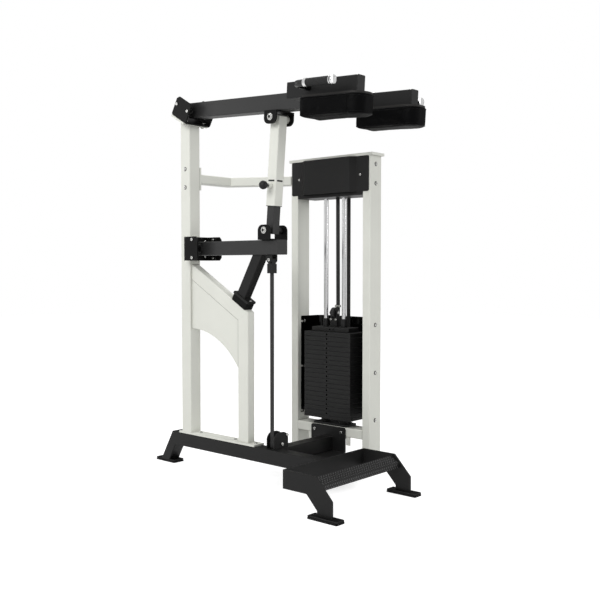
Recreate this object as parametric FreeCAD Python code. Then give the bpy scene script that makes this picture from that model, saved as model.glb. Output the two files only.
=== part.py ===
import FreeCAD, Part
import math
import os

# Standing calf raise machine, in millimetres.
# X runs from the lever plane towards the weight tower, Y from the platform towards the rear post, Z up.
# The lever plane is X = 0, the belt plane is Y = 0 and the floor is Z = 0. The last step moves the
# origin to the middle of the footprint.

V = FreeCAD.Vector
whole_turn = math.degrees(math.tau)
half_turn = whole_turn / 2
quarter_turn = whole_turn / 4

# Tubes and sheets
beam = 75.0                # square tube of base, post and lower lever
beam_wall = 4.0
slim = 50.0                # narrow side of the lighter tubes
slim_wall = 3.0
tube_corner = 5.0          # outside corner radius of a tube
weld_plate = 10.0          # thickness of the frame's welded plates
reach = 4000.0             # larger than the machine, for cutting planes
overrun = 2.0              # how far a cut runs past a face
running = 0.05             # radial clearance of a turning fit
sliding = 0.3              # gap beside a sliding or resting face
hair = 0.001               # shorter edges are left out of an outline

# Heights and places of the main lines
beam_top = 184.0
post_top = 1917.0          # height of the slanted post top on the post's centre line
post_slant = 30.0          # slope of the post's top and of the brace, degrees
lower_pivot_y = 513.0
lower_pivot_z = 1217.0
upper_tilt = 3.27          # slope of the upper lever at rest, degrees

# Pivot brackets of steel sheet
bracket_wide = 180.0
bracket_long = 130.0
bracket_deep = 110.0
bracket_sheet = 8.0
bracket_bend = 12.0
bracket_chamfer = 15.0
pivot_height = 67.0        # pivot above the web's outer face
lower_plate = 9.0          # plate between the lower bracket and the post
bracket_plate_wide = 176.0
post_plate_short = 14.0    # upper plate behind its bracket's front edge
web_bolt_x = 60.0
web_bolt_y = 40.0

# Flange bearings and shafts
shaft_r = 12.5
bearing_bolts = 99.0       # distance between the two bolts
bearing_end_r = 15.5
bearing_mid_r = 34.0
bearing_flange = 13.0
bearing_depth = 33.0
bearing_boss_r = 27.0
hub_r = 28.0
hub_gap = 1.0

# Fasteners
bolt_r = 5.0
bolt_head_r = 8.5
bolt_head = 5.5
bolt_socket_r = 3.6
bolt_socket = 3.0
bolt_past = 2.0            # thread beyond the nut
small_bolt_r = 4.0
small_head_r = 6.0
small_head = 3.6
small_socket_r = 2.6
small_socket = 2.0
axle_head_r = 9.0
axle_head = 6.0
dome_share = 0.35          # bevel of a bolt head, of its height
nut_share = 1.84           # corner radius of a nut, of its bolt's radius
nut_high_share = 1.6
nut_sides = 6

# Base frame
beam_front_y = -357.0      # rear face of the platform's back plate
beam_rear_y = 750.5        # upper rear corner of the main beam
leg_deep = 60.0
leg_slant = 30.0           # rear leg from the vertical, degrees
well_clear = 6.0           # opening in the beams round the front pulley
foot_steel = 8.0
foot_rubber = 6.0
foot_lip = 4.0
rear_foot_long = 154.0
rear_foot_wide = 75.0
rear_foot_y = 817.0        # middle of the rear foot
front_foot_long = 165.0
front_foot_wide = 60.0
front_foot_y = -609.8
foot_corner = 8.0

# Platform
side_x = 300.0             # middle of each side plate
side_sheet = 10.0
side_round = 8.0
side_top = 189.5
side_low = 101.0
side_front_y = -553.5
knee_y = -649.0
knee_z = 90.6
heel_y = -501.0            # where the lower edge turns down to the foot
foot_heel_y = -564.0
foot_heel_z = 36.0
back_sheet = 8.0
tread_sheet = 4.0
tread_back_y = -539.4
tread_back_z = 181.1
tread_edge_y = -585.0
tread_edge_z = 151.5
tread_low_z = 125.0
tread_bend = 7.0

# White frame
base_plate_front_y = 95.0
base_plate_tail = 25.0      # base plate behind the post
upright_y = 151.0          # front face of the front upright
upright_deep = 75.0
brace_top = 880.5          # top corner at the upright's front face
brace_deep = 75.0
gusset_sheet = 4.0
gusset_recess = 1.0
gusset_low_post = 777.0
gusset_low_upright = 586.0
base_bolt_y = (546.0, 273.0, 117.0)

# Lower lever
lower_front = 584.6        # from pivot to front end
lever_tail = 30.0          # behind the pivot
lever_cap = 4.0
strut_wide = 50.0
strut_deep = 62.0
strut_foot_y = 228.0       # where the strut's axis meets the brace's top face
stop_long = 112.0
stop_wide = 60.0
stop_thick = 36.0
stop_plate = 12.0
stop_plate_over = 3.0
stop_shift = -9.0           # middle of the block from the strut's axis, along the brace
stop_round = 6.0
stop_bolt = 12.0           # from the flange's front end
belt_pin_drop = 25.5       # belt pin below the lever
lug_gap = 29.0
lug_sheet = 8.0
lug_long = 34.0

# Shackles that hold the link
shackle_wide = 132.0
shackle_long = 84.0
shackle_sheet = 8.0
shackle_web = 5.0
shackle_round = 30.0
bush_gap = 0.5             # between a link hub and its ear
link_pin_r = 8.0
link_head_r = 12.0
link_head = 7.0
lower_shackle_y = -5.0
lower_pin_up = 48.0        # link pin above the lower lever
lower_shackle_end = 28.0   # ear beyond the pin
upper_pin_down = 33.0      # link pin below the upper lever
upper_shackle_end = 34.0
upper_pin_s = 644.0        # link pin from the upper pivot, along the lever

# Link tubes
inner_side = 50.0
inner_wall = 4.0
outer_side = 60.0
outer_wall = 3.0
liner_wall = 1.7
inner_below = 18.0         # inner tube past its pin
inner_above = 430.0
outer_reach = 438.0        # outer tube below its pin
outer_above = 8.0
upper_bush_r = 21.0
lower_bush_r = 16.0
open_pivot = 8.0           # radial play of the link's top pin
liner_long = 150.0
liner_lip = 3.0
liner_tab_long = 8.0
liner_tab_wide = 42.0
tab_from_end = 126.0       # tabs above the outer tube's lower end
pop_from_end = 99.5        # pop pin above the outer tube's lower end
pop_boss_r = 12.5
pop_boss = 24.0
pop_pin_r = 6.0
pop_neck_r = 7.0
pop_knob_r = 22.0
pop_knob_out = 86.0        # knob's middle from the tube's axis
pop_push = 6.0             # inward travel that locks the link
pop_play = 0.5
hole_pitch = 25.0
hole_steps = 2             # holes above and below the middle one

# Upper lever
upper_wide = 78.0
upper_tall = 82.0
upper_drop = 10.0          # tube's centre line below the pivot line
upper_long = 904.0         # from the pivot to the cross tube
cross_deep = 75.0
arm_x = 205.0
arm_wide = 50.0
arm_tall = 75.0
arm_top = 35.4
arm_long = 410.0           # arm's end from the cross tube's rear
cap_thick = 4.0
pad_wide = 145.0
pad_start = 120.5          # pad's rear end from the cross tube's rear
pad_run = 273.5            # straight part of the pad
pad_low = 136.7
board_thick = 9.0
board_inset = 7.0
pad_bolt_in = (55.5, 268.5)  # from the pad's rear end
pad_edge = 10.0
pad_bulge = 1.5
pad_crown = 4.0
pad_back_round = 10.0
edge_steps = 3
crown_shares = ((0.3, 0.5), (0.6, 0.85), (0.85, 1.0))

# Handles beside the arms
handle_x = 333.0
handle_start = 134.0       # handle's rod from the cross tube's rear
handle_bend = 40.0
rod_r = 15.0
grip_r = 18.0
grip_in = 82.0             # grip from the rod's root
grip_long = 126.0
ring_r = 19.0
ring_long = 24.0
knob_r = 20.5
knob_long = 44.0
knob_groove = 2.0
knob_round = 4.0

# Belt and pulleys
belt_wide = 25.0
belt_thick = 3.0
front_pulley_r = 43.0
front_pulley_z = 205.0
rear_pulley_r = 30.0
top_pulley_r = 47.0
pulley_wide = 31.0
flange_rim = 4.0
flange_thick = 2.5
pulley_web = 6.0
pulley_hub_r = 14.0
pulley_rim = 6.0
axle_r = 6.0
rear_belt_x = 628.0
clamp_wide = 40.0
clamp_long = 30.0
clamp_top = 1134.0
clamp_low = 1085.0
clamp_eye_r = 14.0
clamp_play = 4.5           # radial play of the belt pin in the clamp's eye

# Housing of the front pulley
housing_sheet = 5.0
housing_gap = 44.0
housing_front = -14.0
housing_long = 106.0
housing_top = 266.0
housing_round = 38.0
spacer_x = 83.0
spacer_z = 247.0
spacer_r = 8.0
hub_side = 0.5             # between a pulley's hub and its cheek

# Bracket of the rear pulley
rear_bracket_end = 640.0
rear_bracket_low = 150.0
rear_bracket_round = 20.0
rear_cheek = 5.0

# Weight tower
tower_x = 455.0            # front face of the uprights
tower_deep = 100.0
tower_gap = 460.0          # between the uprights
tower_wall = 3.0
tower_top = 1706.0
top_plate = 15.0
top_plate_front = 3.0
top_plate_back = 7.0
top_plate_side = 13.0
cross_low = 191.0
cross_tall = 50.0
tower_foot = 6.0
connect_sheet = 10.0
connect_wide = 240.0
connect_top = 240.0
connect_low = 100.0
connect_round = 12.0
connect_bolt_y = 95.0
connect_bolt_z = 214.0
under_sheet = 8.0          # plate under the corner of the two beams
under_lap = 10.0           # how far it lies under a beam
under_front_x = 250.0      # its corner at the platform's back
corner_plate = 6.0
corner_plate_wide = 26.0
corner_plate_tall = 45.0
carrier_bolt_drops = (44.0, 146.0)  # below the tower's top
shroud_bolt_z = (808.0, 551.0, 296.0)

# Carrier, cover and shroud
carrier_tall = 206.0       # from its underside to the tower's top
carrier_sheet = 5.0
carrier_web = 140.0
carrier_end_drop = 6.0
carrier_slot = 12.0
carrier_deep = 150.0
cheek_gap = 36.0
cheek_sheet = 6.0
cheek_tall = 155.0
cheek_round = 30.0
top_pulley_up = 97.0       # above the carrier's underside
cover_sheet = 3.0
cover_tall = 188.0
cover_half = 272.0
cover_step = 193.0
cover_flat = 160.0
cover_stand = 25.0
cover_corner = 10.0
cover_bolt_y = 217.0
cover_bolt_drop = 99.0
shroud_sheet = 3.0
shroud_front = 482.0
shroud_back = 640.0
shroud_low = 285.0
shroud_top = 838.0
shroud_corner = 42.0
slot_tall = 11.0
slot_deep = 36.0

# Weight stack
guide_x = 507.0
guide_r = 12.5
guide_y = 64.0
guide_clear = 1.0
plate_count = 18
plate_thick = 25.4
plate_gap = 0.3
plate_wide = 326.0
plate_deep = 146.0
plate_chamfer = 2.0
pin_hole_r = 5.5
stem_r = 11.0
stack_low = 281.0
stack_base_thick = 16.0
cushion_r = 26.0
rest_wide = 230.0          # rubber rest under the cushions
rest_deep = 92.0
rest_thick = 12.0
head_thick = 25.0
head_wide = 262.0
head_deep = 92.0
head_hole_r = 4.5
head_hole_y = -24.0
head_hole_deep = 15.0
sleeve_r = 17.0
sleeve_up = 46.0
sleeve_fit = 0.1
roller_z = 863.0
roller_r = 26.0
roller_wide = 30.0
clevis_sheet = 6.0
clevis_wide = 46.0
clevis_block = 28.0
clevis_bolt_z = 826.0
clevis_bolt_y = 17.0
clevis_round = 14.0
belt_clip_z = 899.0
clip_low = 890.0
clip_top = 908.0
clip_sheet = 3.0
clip_tall = 12.0
clip_wide = 34.0
clip_slack = 0.5

# Tie bar from the post to the tower
tie_tall = 50.0
tie_deep = 75.0
tie_drop = 99.0            # bar's middle below the tower's top
tie_plate_tall = 125.0
tie_angle = 60.0           # bend of the bar, seen from above, degrees
tie_bolt_gap = 101.0
tie_far_inset = 3.0

# Small shape tools

def box(x0, x1, y0, y1, z0, z1):
    return Part.makeBox(x1 - x0, y1 - y0, z1 - z0, V(x0, y0, z0))


def rod(start, end, r):
    way = end - start
    return Part.makeCylinder(r, way.Length, start, way)


def ring(start, end, outer, inner):
    return rod(start, end, outer).cut(rod(start, end, inner))


def rounded(points, radii=0.0):
    """Closed wire through points in one plane, with an arc at each corner that has a radius."""
    count = len(points)
    if not isinstance(radii, (list, tuple)):
        radii = [radii] * count
    starts, tips, ends = [], [], []
    for i, p in enumerate(points):
        before = (points[i - 1] - p).normalize()
        after = (points[(i + 1) % count] - p).normalize()
        half = before.getAngle(after) / 2
        starts.append(p + before * (radii[i] / math.tan(half)))
        ends.append(p + after * (radii[i] / math.tan(half)))
        tips.append(p + (before + after).normalize() * (radii[i] / math.sin(half) - radii[i]))
    edges = []
    for i in range(count):
        following = starts[(i + 1) % count]
        if radii[i] > 0:
            edges.append(Part.Arc(starts[i], tips[i], ends[i]).toShape())
        if (following - ends[i]).Length > hair:
            edges.append(Part.LineSegment(ends[i], following).toShape())
    return Part.Wire(edges)


def plate(axis, lo, hi, points, radii=0.0):
    """Flat piece from lo to hi along an axis, with its outline given in the other two, in X, Y, Z order."""
    put = {"x": lambda a, b: V(lo, a, b), "y": lambda a, b: V(a, lo, b), "z": lambda a, b: V(a, b, lo)}
    way = {"x": V(1, 0, 0), "y": V(0, 1, 0), "z": V(0, 0, 1)}[axis]
    return Part.Face(rounded([put[axis](a, b) for a, b in points], radii)).extrude(way * (hi - lo))


def rect(a0, a1, b0, b1):
    return [(a0, b0), (a1, b0), (a1, b1), (a0, b1)]


def bar(start, along, side, wide, deep, corner=0.0):
    """Straight bar of rectangular section, centred on the line from start, wide in the side direction."""
    across = along.cross(side).normalize() * (deep / 2)
    half = V(side).normalize() * (wide / 2)
    corners = [start - half - across, start + half - across, start + half + across, start - half + across]
    return Part.Face(rounded(corners, corner)).extrude(along)


def tube(start, along, side, wide, deep, wall):
    """Hollow bar with rounded outside corners, open at both ends."""
    past = V(along).normalize() * overrun
    bore = bar(start - past, along + past * 2, side, wide - 2 * wall, deep - 2 * wall)
    return bar(start, along, side, wide, deep, tube_corner).cut(bore)


def cut_off(shape, point, way):
    """Removes what lies beyond the plane through point, on the side that way points to."""
    return shape.cut(rod(point, point + V(way).normalize() * reach, reach))


def turned(points, base, way):
    """Solid of revolution: points are (radius, height) about the line from base along way."""
    outline = Part.Face(rounded([V(r, 0, h) for r, h in points]))
    solid = outline.revolve(V(0, 0, 0), V(0, 0, 1), whole_turn)
    solid.Placement = FreeCAD.Placement(base, FreeCAD.Rotation(V(0, 0, 1), way))
    return solid


def hexagon(base, way, r, high):
    """Six-sided prism with its corners at radius r."""
    turns = [math.tau * i / nut_sides for i in range(nut_sides)]
    corners = [V(r * math.cos(a), r * math.sin(a), 0) for a in turns]
    solid = Part.Face(rounded(corners)).extrude(V(0, 0, high))
    solid.Placement = FreeCAD.Placement(base, FreeCAD.Rotation(V(0, 0, 1), way))
    return solid


def bolt(base, way, grip, size="large", nut=True):
    """Button head bolt with a hex socket: base on the surface under its head, way into the piece."""
    r, head_r, head, socket_r, socket = bolt_sizes[size]
    way = V(way).normalize()
    rim = head * dome_share
    long = grip + r * nut_high_share + bolt_past if nut else grip
    shape = turned([(0, head), (head_r - rim, head), (head_r, head - rim), (head_r, 0), (r, 0),
                    (r, -long), (0, -long)], base, way * -1)
    shape = shape.cut(hexagon(base - way * (head - socket), way * -1, socket_r, socket + overrun))
    if nut:
        shape = shape.fuse(hexagon(base + way * grip, way, r * nut_share, r * nut_high_share))
    return shape


def drilled(shape, bases, way, long, r):
    """Cuts a round hole at each base, open at both ends of its length."""
    way = V(way).normalize()
    for base in bases:
        shape = shape.cut(rod(base - way * overrun, base + way * (long + overrun), r))
    return shape


def placed(shape, angle, y, z):
    """Turns a shape about the X axis through the origin, then moves the origin to y, z."""
    shape = shape.copy()
    shape.rotate(V(0, 0, 0), V(1, 0, 0), angle)
    shape.translate(V(0, y, z))
    return shape


def both_sides(shape):
    """The shape and its copy on the other side of the lever plane."""
    return [shape, shape.mirror(V(0, 0, 0), V(1, 0, 0))]


def across_belt(shape):
    """The shape and its copy on the other side of the belt plane."""
    return [shape, shape.mirror(V(0, 0, 0), V(0, 1, 0))]


# Places that follow from the sizes

beam_low = beam_top - beam
beam_mid = beam_top - beam / 2
frame_z = beam_top + weld_plate
post_y0 = lower_pivot_y + pivot_height + lower_plate
post_y1 = post_y0 + beam
post_y = post_y0 + beam / 2
slant = math.radians(post_slant)
slope = math.tan(slant)
post_way = V(0, -math.sin(slant), math.cos(slant))      # square to the slanted top
post_cap = V(0, post_y, post_top) + post_way * weld_plate
upper_pivot = post_cap + post_way * pivot_height
lower_pivot = V(0, lower_pivot_y, lower_pivot_z)
lever_low = lower_pivot_z - beam / 2
lever_high = lower_pivot_z + beam / 2
lever_front_y = lower_pivot_y - lower_front
upper_low = -upper_tall / 2 - upper_drop
bracket_x = bracket_wide / 2
bearing_x = bracket_x - bracket_sheet
hub_half = bearing_x - bearing_depth - hub_gap
shaft_half = bearing_x - hub_gap
shackle_x = shackle_wide / 2
bush_half = shackle_x - shackle_sheet - bush_gap
link_low = V(0, lower_shackle_y, lever_high + lower_pin_up)
foot_top = foot_steel + foot_rubber
arm_low = arm_top - arm_tall
arm_mid = arm_top - arm_tall / 2
arm_end = upper_long + arm_long
pad_back = upper_long + pad_start
pad_straight = pad_back + pad_run
pad_bolt_s = [pad_back + s for s in pad_bolt_in]
handle_s = upper_long + handle_start
grip_start = handle_s + grip_in
grip_end = grip_start + grip_long
carrier_low = tower_top - carrier_tall
carrier_top = carrier_low + carrier_web
carrier_end_top = tower_top - carrier_end_drop
cheek_top = carrier_low + cheek_tall
top_pulley_z = carrier_low + top_pulley_up
cover_low = tower_top - cover_tall
cover_bolt_z = tower_top - cover_bolt_drop
tie_z = tower_top - tie_drop
carrier_bolt_z = [tower_top - drop for drop in carrier_bolt_drops]
belt_gap = sliding + belt_thick / 2
belt_pin_z = lever_low - belt_pin_drop
front_pulley = V(front_pulley_r + belt_gap, 0, front_pulley_z)
belt_run_z = front_pulley_z - front_pulley_r - belt_gap
rear_pulley = V(rear_belt_x - rear_pulley_r - belt_gap, 0, belt_run_z + rear_pulley_r + belt_gap)
top_pulley = V(rear_belt_x - top_pulley_r - belt_gap, 0, top_pulley_z)
roller = V(guide_x, 0, roller_z)
tower_half = tower_gap / 2
tower_side = tower_half + slim
tower_back = tower_x + tower_deep
tower_mid = tower_x + tower_deep / 2
cross_high = cross_low + cross_tall
stack_z = stack_low + stack_base_thick
head_low = stack_z + plate_count * (plate_thick + plate_gap)
head_high = head_low + head_thick
plates_front = guide_x - plate_deep / 2
plates_back = guide_x + plate_deep / 2
tie_side_x = beam / 2 + weld_plate
bolt_sizes = {
    "large": (bolt_r, bolt_head_r, bolt_head, bolt_socket_r, bolt_socket),
    "small": (small_bolt_r, small_head_r, small_head, small_socket_r, small_socket),
    "axle": (axle_r, axle_head_r, axle_head, bolt_socket_r, bolt_socket),
    "link": (link_pin_r, link_head_r, link_head, bolt_socket_r, bolt_socket),
}


def brace_line(y):
    """Height of the brace's top face."""
    return brace_top + slope * (y - upright_y)


strut_foot = V(0, strut_foot_y, brace_line(strut_foot_y))


def on_brace(shape):
    """Puts a shape drawn on the strut's foot, with the brace's face as z = 0, in place."""
    return placed(shape, post_slant, strut_foot.y, strut_foot.z)


def on_upper(s, h):
    """Point on the upper lever at rest: s forward from its pivot, h above the pivot line."""
    a = math.radians(upper_tilt)
    return upper_pivot + V(0, -s * math.cos(a) - h * math.sin(a), -s * math.sin(a) + h * math.cos(a))


def upper(shape):
    """Puts a shape drawn on a level lever, with the pivot at the origin and its front at -Y, in place."""
    return placed(shape, upper_tilt, upper_pivot.y, upper_pivot.z)


link_high = on_upper(upper_pin_s, upper_low - upper_pin_down)
link_length = (link_high - link_low).Length
link_tilt = math.degrees(math.atan2(link_low.y - link_high.y, link_high.z - link_low.z))
outer_end = link_length - outer_reach
pop_z = outer_end + pop_from_end


def on_link(shape):
    """Puts a shape drawn upright on the link's lower pin in place."""
    return placed(shape, link_tilt, link_low.y, link_low.z)


# Base frame

def main_beam():
    """Main beam and the rear leg that is mitred to it, open above the front pulley."""
    lean = math.radians(leg_slant)
    down = V(0, math.sin(lean), -math.cos(lean))
    out = V(0, math.cos(lean), math.sin(lean))
    corner = V(0, beam_rear_y, beam_top)
    inner = V(0, beam_rear_y - leg_deep / math.cos(lean) + beam * math.tan(lean), beam_low)
    mitre = inner - corner
    square = V(0, -mitre.z, mitre.y)
    long = beam_rear_y + beam - beam_front_y
    body = tube(V(0, beam_front_y, beam_mid), V(0, long, 0), V(1, 0, 0), beam, beam, beam_wall)
    body = cut_off(body, corner, square)
    top = corner - out * (leg_deep / 2) - down * beam
    leg = tube(top, down * (beam_top + beam * 2), V(1, 0, 0), beam, leg_deep, slim_wall)
    leg = cut_off(cut_off(leg, corner, square * -1), V(0, 0, foot_top), V(0, 0, -1))
    body = body.cut(pulley_well())
    body = drilled(body, [V(0, y, beam_low) for y in base_bolt_y], V(0, 0, 1), beam, bolt_r + running)
    return [body, leg]


def pulley_well():
    """Space for the front pulley in the two beams, down to their bottom walls."""
    side = front_pulley_r + flange_rim + well_clear
    return box(front_pulley.x - side, front_pulley.x + side, -housing_gap / 2, housing_gap / 2,
               beam_low + beam_wall, beam_top + overrun)


def cross_beam():
    """Beam from the main beam to the weight tower, round the hidden run of the belt."""
    long = tower_x - connect_sheet - beam / 2
    body = tube(V(beam / 2, 0, beam_mid), V(long, 0, 0), V(0, 1, 0), beam, beam, beam_wall)
    return [body.cut(pulley_well())]


def feet_places():
    """Middle x, middle y, width and length of each foot plate."""
    front = [(x, front_foot_y, front_foot_wide, front_foot_long) for x in (-side_x, side_x)]
    return front + [(0.0, rear_foot_y, rear_foot_wide, rear_foot_long)]


def foot_plates():
    return [plate("z", foot_rubber, foot_top, rect(x - wide / 2, x + wide / 2, y - long / 2, y + long / 2),
                  foot_corner) for x, y, wide, long in feet_places()]


def foot_rubbers():
    """Rubber pads, each with a raised lip past both ends of its foot plate, and the tower's rubber caps."""
    made = []
    for x, y, wide, long in feet_places():
        end = long / 2
        past = end + foot_lip
        pad = plate("z", 0.0, foot_rubber, rect(x - wide / 2, x + wide / 2, y - past, y + past), foot_corner)
        lip_x = wide / 2 - foot_corner
        for y0, y1 in ((y - past, y - end), (y + end, y + past)):
            pad = pad.fuse(box(x - lip_x, x + lip_x, y0, y1, foot_rubber, foot_top))
        made.append(pad)
    for sign in (-1, 1):
        y = sign * (tower_half + slim / 2)
        made.append(box(tower_x, tower_back, y - slim / 2, y + slim / 2, 0.0, tower_foot))
    return made


def platform_frame():
    """Two cut side plates and the back plate between them, which the main beam is welded to."""
    outline = [(beam_front_y, side_top), (side_front_y, side_top), (knee_y, knee_z), (knee_y, foot_top),
               (foot_heel_y, foot_top), (foot_heel_y, foot_heel_z), (heel_y, side_low), (beam_front_y, side_low)]
    radii = [0.0, side_round, side_round, 0.0, 0.0, side_round, side_round, 0.0]
    inner = side_x - side_sheet / 2
    side = plate("x", inner, inner + side_sheet, outline, radii)
    back = box(-inner, inner, beam_front_y - back_sheet, beam_front_y, side_low, side_top)
    return both_sides(side) + [back]


def platform_tread():
    """Bent tread plate between the sides: a sloping top and a plain front lip."""
    back = V(0, tread_back_y, tread_back_z)
    edge = V(0, tread_edge_y, tread_edge_z)
    low = V(0, tread_edge_y, tread_low_z)
    fall = (edge - back).normalize()
    under = V(0, -fall.z, fall.y) * tread_sheet
    inside = V(0, tread_sheet, 0)
    turn = fall.getAngle(low - edge)
    corner = edge + inside - V(0, 0, tread_sheet * math.tan(turn / 2))
    inner = side_x - side_sheet / 2
    points = [back, edge, low, low + inside, corner, back + under]
    outline = [(p.y, p.z) for p in points]
    return [plate("x", -inner, inner, outline, [0.0, tread_bend, 0.0, 0.0, tread_bend - tread_sheet, 0.0])]


# White frame

def web_places(z):
    return [V(x, y, z) for x in (-web_bolt_x, web_bolt_x) for y in (-web_bolt_y, web_bolt_y)]


def bearing_places(x):
    return [V(x, y, pivot_height) for y in (-bearing_bolts / 2, bearing_bolts / 2)]


def on_lower_bracket(shape):
    """Puts a shape drawn on a bracket's web, with the pivot above it, in front of the post."""
    return placed(shape, quarter_turn, post_y0 - lower_plate, lower_pivot_z)


def on_upper_bracket(shape):
    """The same for the bracket on the post's slanted top."""
    return placed(shape, post_slant, post_cap.y, post_cap.z)


def bracket_plate(thick, short):
    """Plate behind a bracket's web, with its four bolt holes."""
    half = bracket_plate_wide / 2
    shape = box(-half, half, short - bracket_long / 2, bracket_long / 2, -thick, 0.0)
    return drilled(shape, web_places(-thick), V(0, 0, 1), thick, bolt_r + running)


def frame_plates():
    """Base plate on the main beam and the two plates that the pivot brackets are bolted to."""
    base = box(-beam / 2, beam / 2, base_plate_front_y, post_y1 + base_plate_tail, beam_top, frame_z)
    base = drilled(base, [V(0, y, beam_top) for y in base_bolt_y], V(0, 0, 1), weld_plate, bolt_r + running)
    low = on_lower_bracket(bracket_plate(lower_plate, 0.0))
    return [base, low, on_upper_bracket(bracket_plate(weld_plate, post_plate_short))]


def rear_post():
    long = post_top + beam - frame_z
    post = tube(V(0, post_y, frame_z), V(0, 0, long), V(1, 0, 0), beam, beam, beam_wall)
    post = cut_off(post, V(0, post_y, post_top), post_way)
    bases = [V(-beam / 2, post_y, z) for z in tie_bolt_z()]
    return [drilled(post, bases, V(1, 0, 0), beam, bolt_r + running)]


def brace_corner():
    """Outer and inner corner of the mitre between the front upright and the brace."""
    outer = V(0, upright_y, brace_top)
    inner_y = upright_y + upright_deep
    return outer, V(0, inner_y, brace_line(inner_y) - brace_deep / math.cos(slant))


def front_upright():
    outer, inner = brace_corner()
    middle = V(0, upright_y + upright_deep / 2, frame_z)
    body = tube(middle, V(0, 0, brace_top + beam - frame_z), V(1, 0, 0), slim, upright_deep, slim_wall)
    return [cut_off(body, outer, V(0, outer.z - inner.z, inner.y - outer.y))]


def slanted_brace():
    outer, inner = brace_corner()
    along = V(0, math.cos(slant), math.sin(slant))
    start = outer - post_way * (brace_deep / 2) - along * beam
    long = (post_y1 - upright_y) / math.cos(slant) + beam
    body = tube(start, along * long, V(1, 0, 0), slim, brace_deep, slim_wall)
    body = cut_off(body, outer, V(0, inner.z - outer.z, outer.y - inner.y))
    return [cut_off(body, V(0, post_y0, 0), V(0, 1, 0))]


def gusset_panel():
    """Sheet between post, upright and brace, with an arched lower edge."""
    x = -slim / 2 + gusset_recess
    y0 = upright_y + upright_deep
    under = -brace_deep / math.cos(slant)
    run = post_y0 - y0
    rise = gusset_low_post - gusset_low_upright
    radius = (run * run + rise * rise) / (2 * rise)
    half = math.asin(run / radius) / 2
    low = V(x, y0, gusset_low_upright)
    middle = V(x, post_y0 - radius * math.sin(half), gusset_low_post - radius * (1 - math.cos(half)))
    post_low = V(x, post_y0, gusset_low_post)
    post_high = V(x, post_y0, brace_line(post_y0) + under)
    high = V(x, y0, brace_line(y0) + under)
    edges = [Part.Arc(low, middle, post_low).toShape()]
    for a, b in ((post_low, post_high), (post_high, high), (high, low)):
        edges.append(Part.LineSegment(a, b).toShape())
    return [Part.Face(Part.Wire(edges)).extrude(V(gusset_sheet, 0, 0))]


# Pivot brackets and bearings, drawn with the web on z = 0 and the pivot along X above it

def bracket():
    """Deep U bent from sheet, with its free corners cut off."""
    half = bracket_long / 2
    past = half + overrun
    inner_x = bracket_x - bracket_sheet
    inside = bracket_bend - bracket_sheet
    shape = plate("y", -half, half, rect(-bracket_x, bracket_x, 0.0, bracket_deep),
                  [bracket_bend, bracket_bend, 0.0, 0.0])
    shape = shape.cut(plate("y", -past, past, rect(-inner_x, inner_x, bracket_sheet, bracket_deep + overrun),
                            [inside, inside, 0.0, 0.0]))
    step = half - bracket_chamfer
    outline = [(-half, 0.0), (half, 0.0), (half, bracket_deep - bracket_chamfer), (step, bracket_deep),
               (-step, bracket_deep), (-half, bracket_deep - bracket_chamfer)]
    shape = shape.common(plate("x", -bracket_x, bracket_x, outline))
    shape = drilled(shape, bearing_places(-bracket_x), V(1, 0, 0), bracket_wide, bolt_r + running)
    return drilled(shape, web_places(0.0), V(0, 0, 1), bracket_sheet, bolt_r + running)


def bearing():
    """Two-bolt flange bearing on the inner face of the bracket's +X flange."""
    x = bearing_x - bearing_flange
    d = bearing_bolts / 2
    lean = math.acos((bearing_mid_r - bearing_end_r) / d)
    across = math.cos(lean)
    up = math.sin(lean)

    def at(middle, r, a, b):
        return V(x, middle + r * a, pivot_height + r * b)

    ends = []
    for side in (1, -1):
        ends.append((at(side * d, bearing_end_r, side * across, -side * up), at(side * d, bearing_end_r, side, 0),
                     at(side * d, bearing_end_r, side * across, side * up)))
        ends.append((at(0, bearing_mid_r, side * across, side * up), at(0, bearing_mid_r, 0, side),
                     at(0, bearing_mid_r, -side * across, side * up)))
    edges = []
    for i, arc in enumerate(ends):
        edges.append(Part.Arc(*arc).toShape())
        edges.append(Part.LineSegment(arc[2], ends[(i + 1) % len(ends)][0]).toShape())
    shape = Part.Face(Part.Wire(edges)).extrude(V(bearing_flange, 0, 0))
    centre = V(bearing_x, 0, pivot_height)
    shape = shape.fuse(rod(centre - V(bearing_depth, 0, 0), centre, bearing_boss_r))
    shape = shape.cut(rod(centre - V(bearing_depth + overrun, 0, 0), centre + V(overrun, 0, 0), shaft_r + running))
    return drilled(shape, bearing_places(x), V(1, 0, 0), bearing_flange, bolt_r + running)


def pivot_brackets():
    return [on_lower_bracket(bracket()), on_upper_bracket(bracket())]


def pivot_bearings():
    return [put(shape) for put in (on_lower_bracket, on_upper_bracket) for shape in both_sides(bearing())]


def pivot_bolts():
    """Bolts of the webs, with their heads inside the brackets, and of the bearings, with theirs outside."""
    made = []
    grip = bracket_sheet + bearing_flange
    sides = [bolt(base, V(-1, 0, 0), grip) for base in bearing_places(bracket_x)]
    for put, thick in ((on_lower_bracket, lower_plate), (on_upper_bracket, weld_plate)):
        made += [put(bolt(base, V(0, 0, -1), bracket_sheet + thick)) for base in web_places(bracket_sheet)]
        made += [put(shape) for side in sides for shape in both_sides(side)]
    return made


# Lower lever

def lower_lever():
    """Tube with a front cap and the hub that is fixed on the lower shaft."""
    back_y = lower_pivot_y + lever_tail
    long = back_y - lever_front_y - lever_cap
    body = tube(V(0, back_y, lower_pivot_z), V(0, -long, 0), V(1, 0, 0), beam, beam, beam_wall)
    cap = bar(V(0, back_y - long, lower_pivot_z), V(0, -lever_cap, 0), V(1, 0, 0), beam, beam, tube_corner)
    hub = rod(lower_pivot - V(hub_half, 0, 0), lower_pivot + V(hub_half, 0, 0), hub_r)
    bore = rod(lower_pivot - V(bracket_x, 0, 0), lower_pivot + V(bracket_x, 0, 0), shaft_r)
    return [body.fuse(cap).fuse(hub).cut(bore)]


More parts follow.
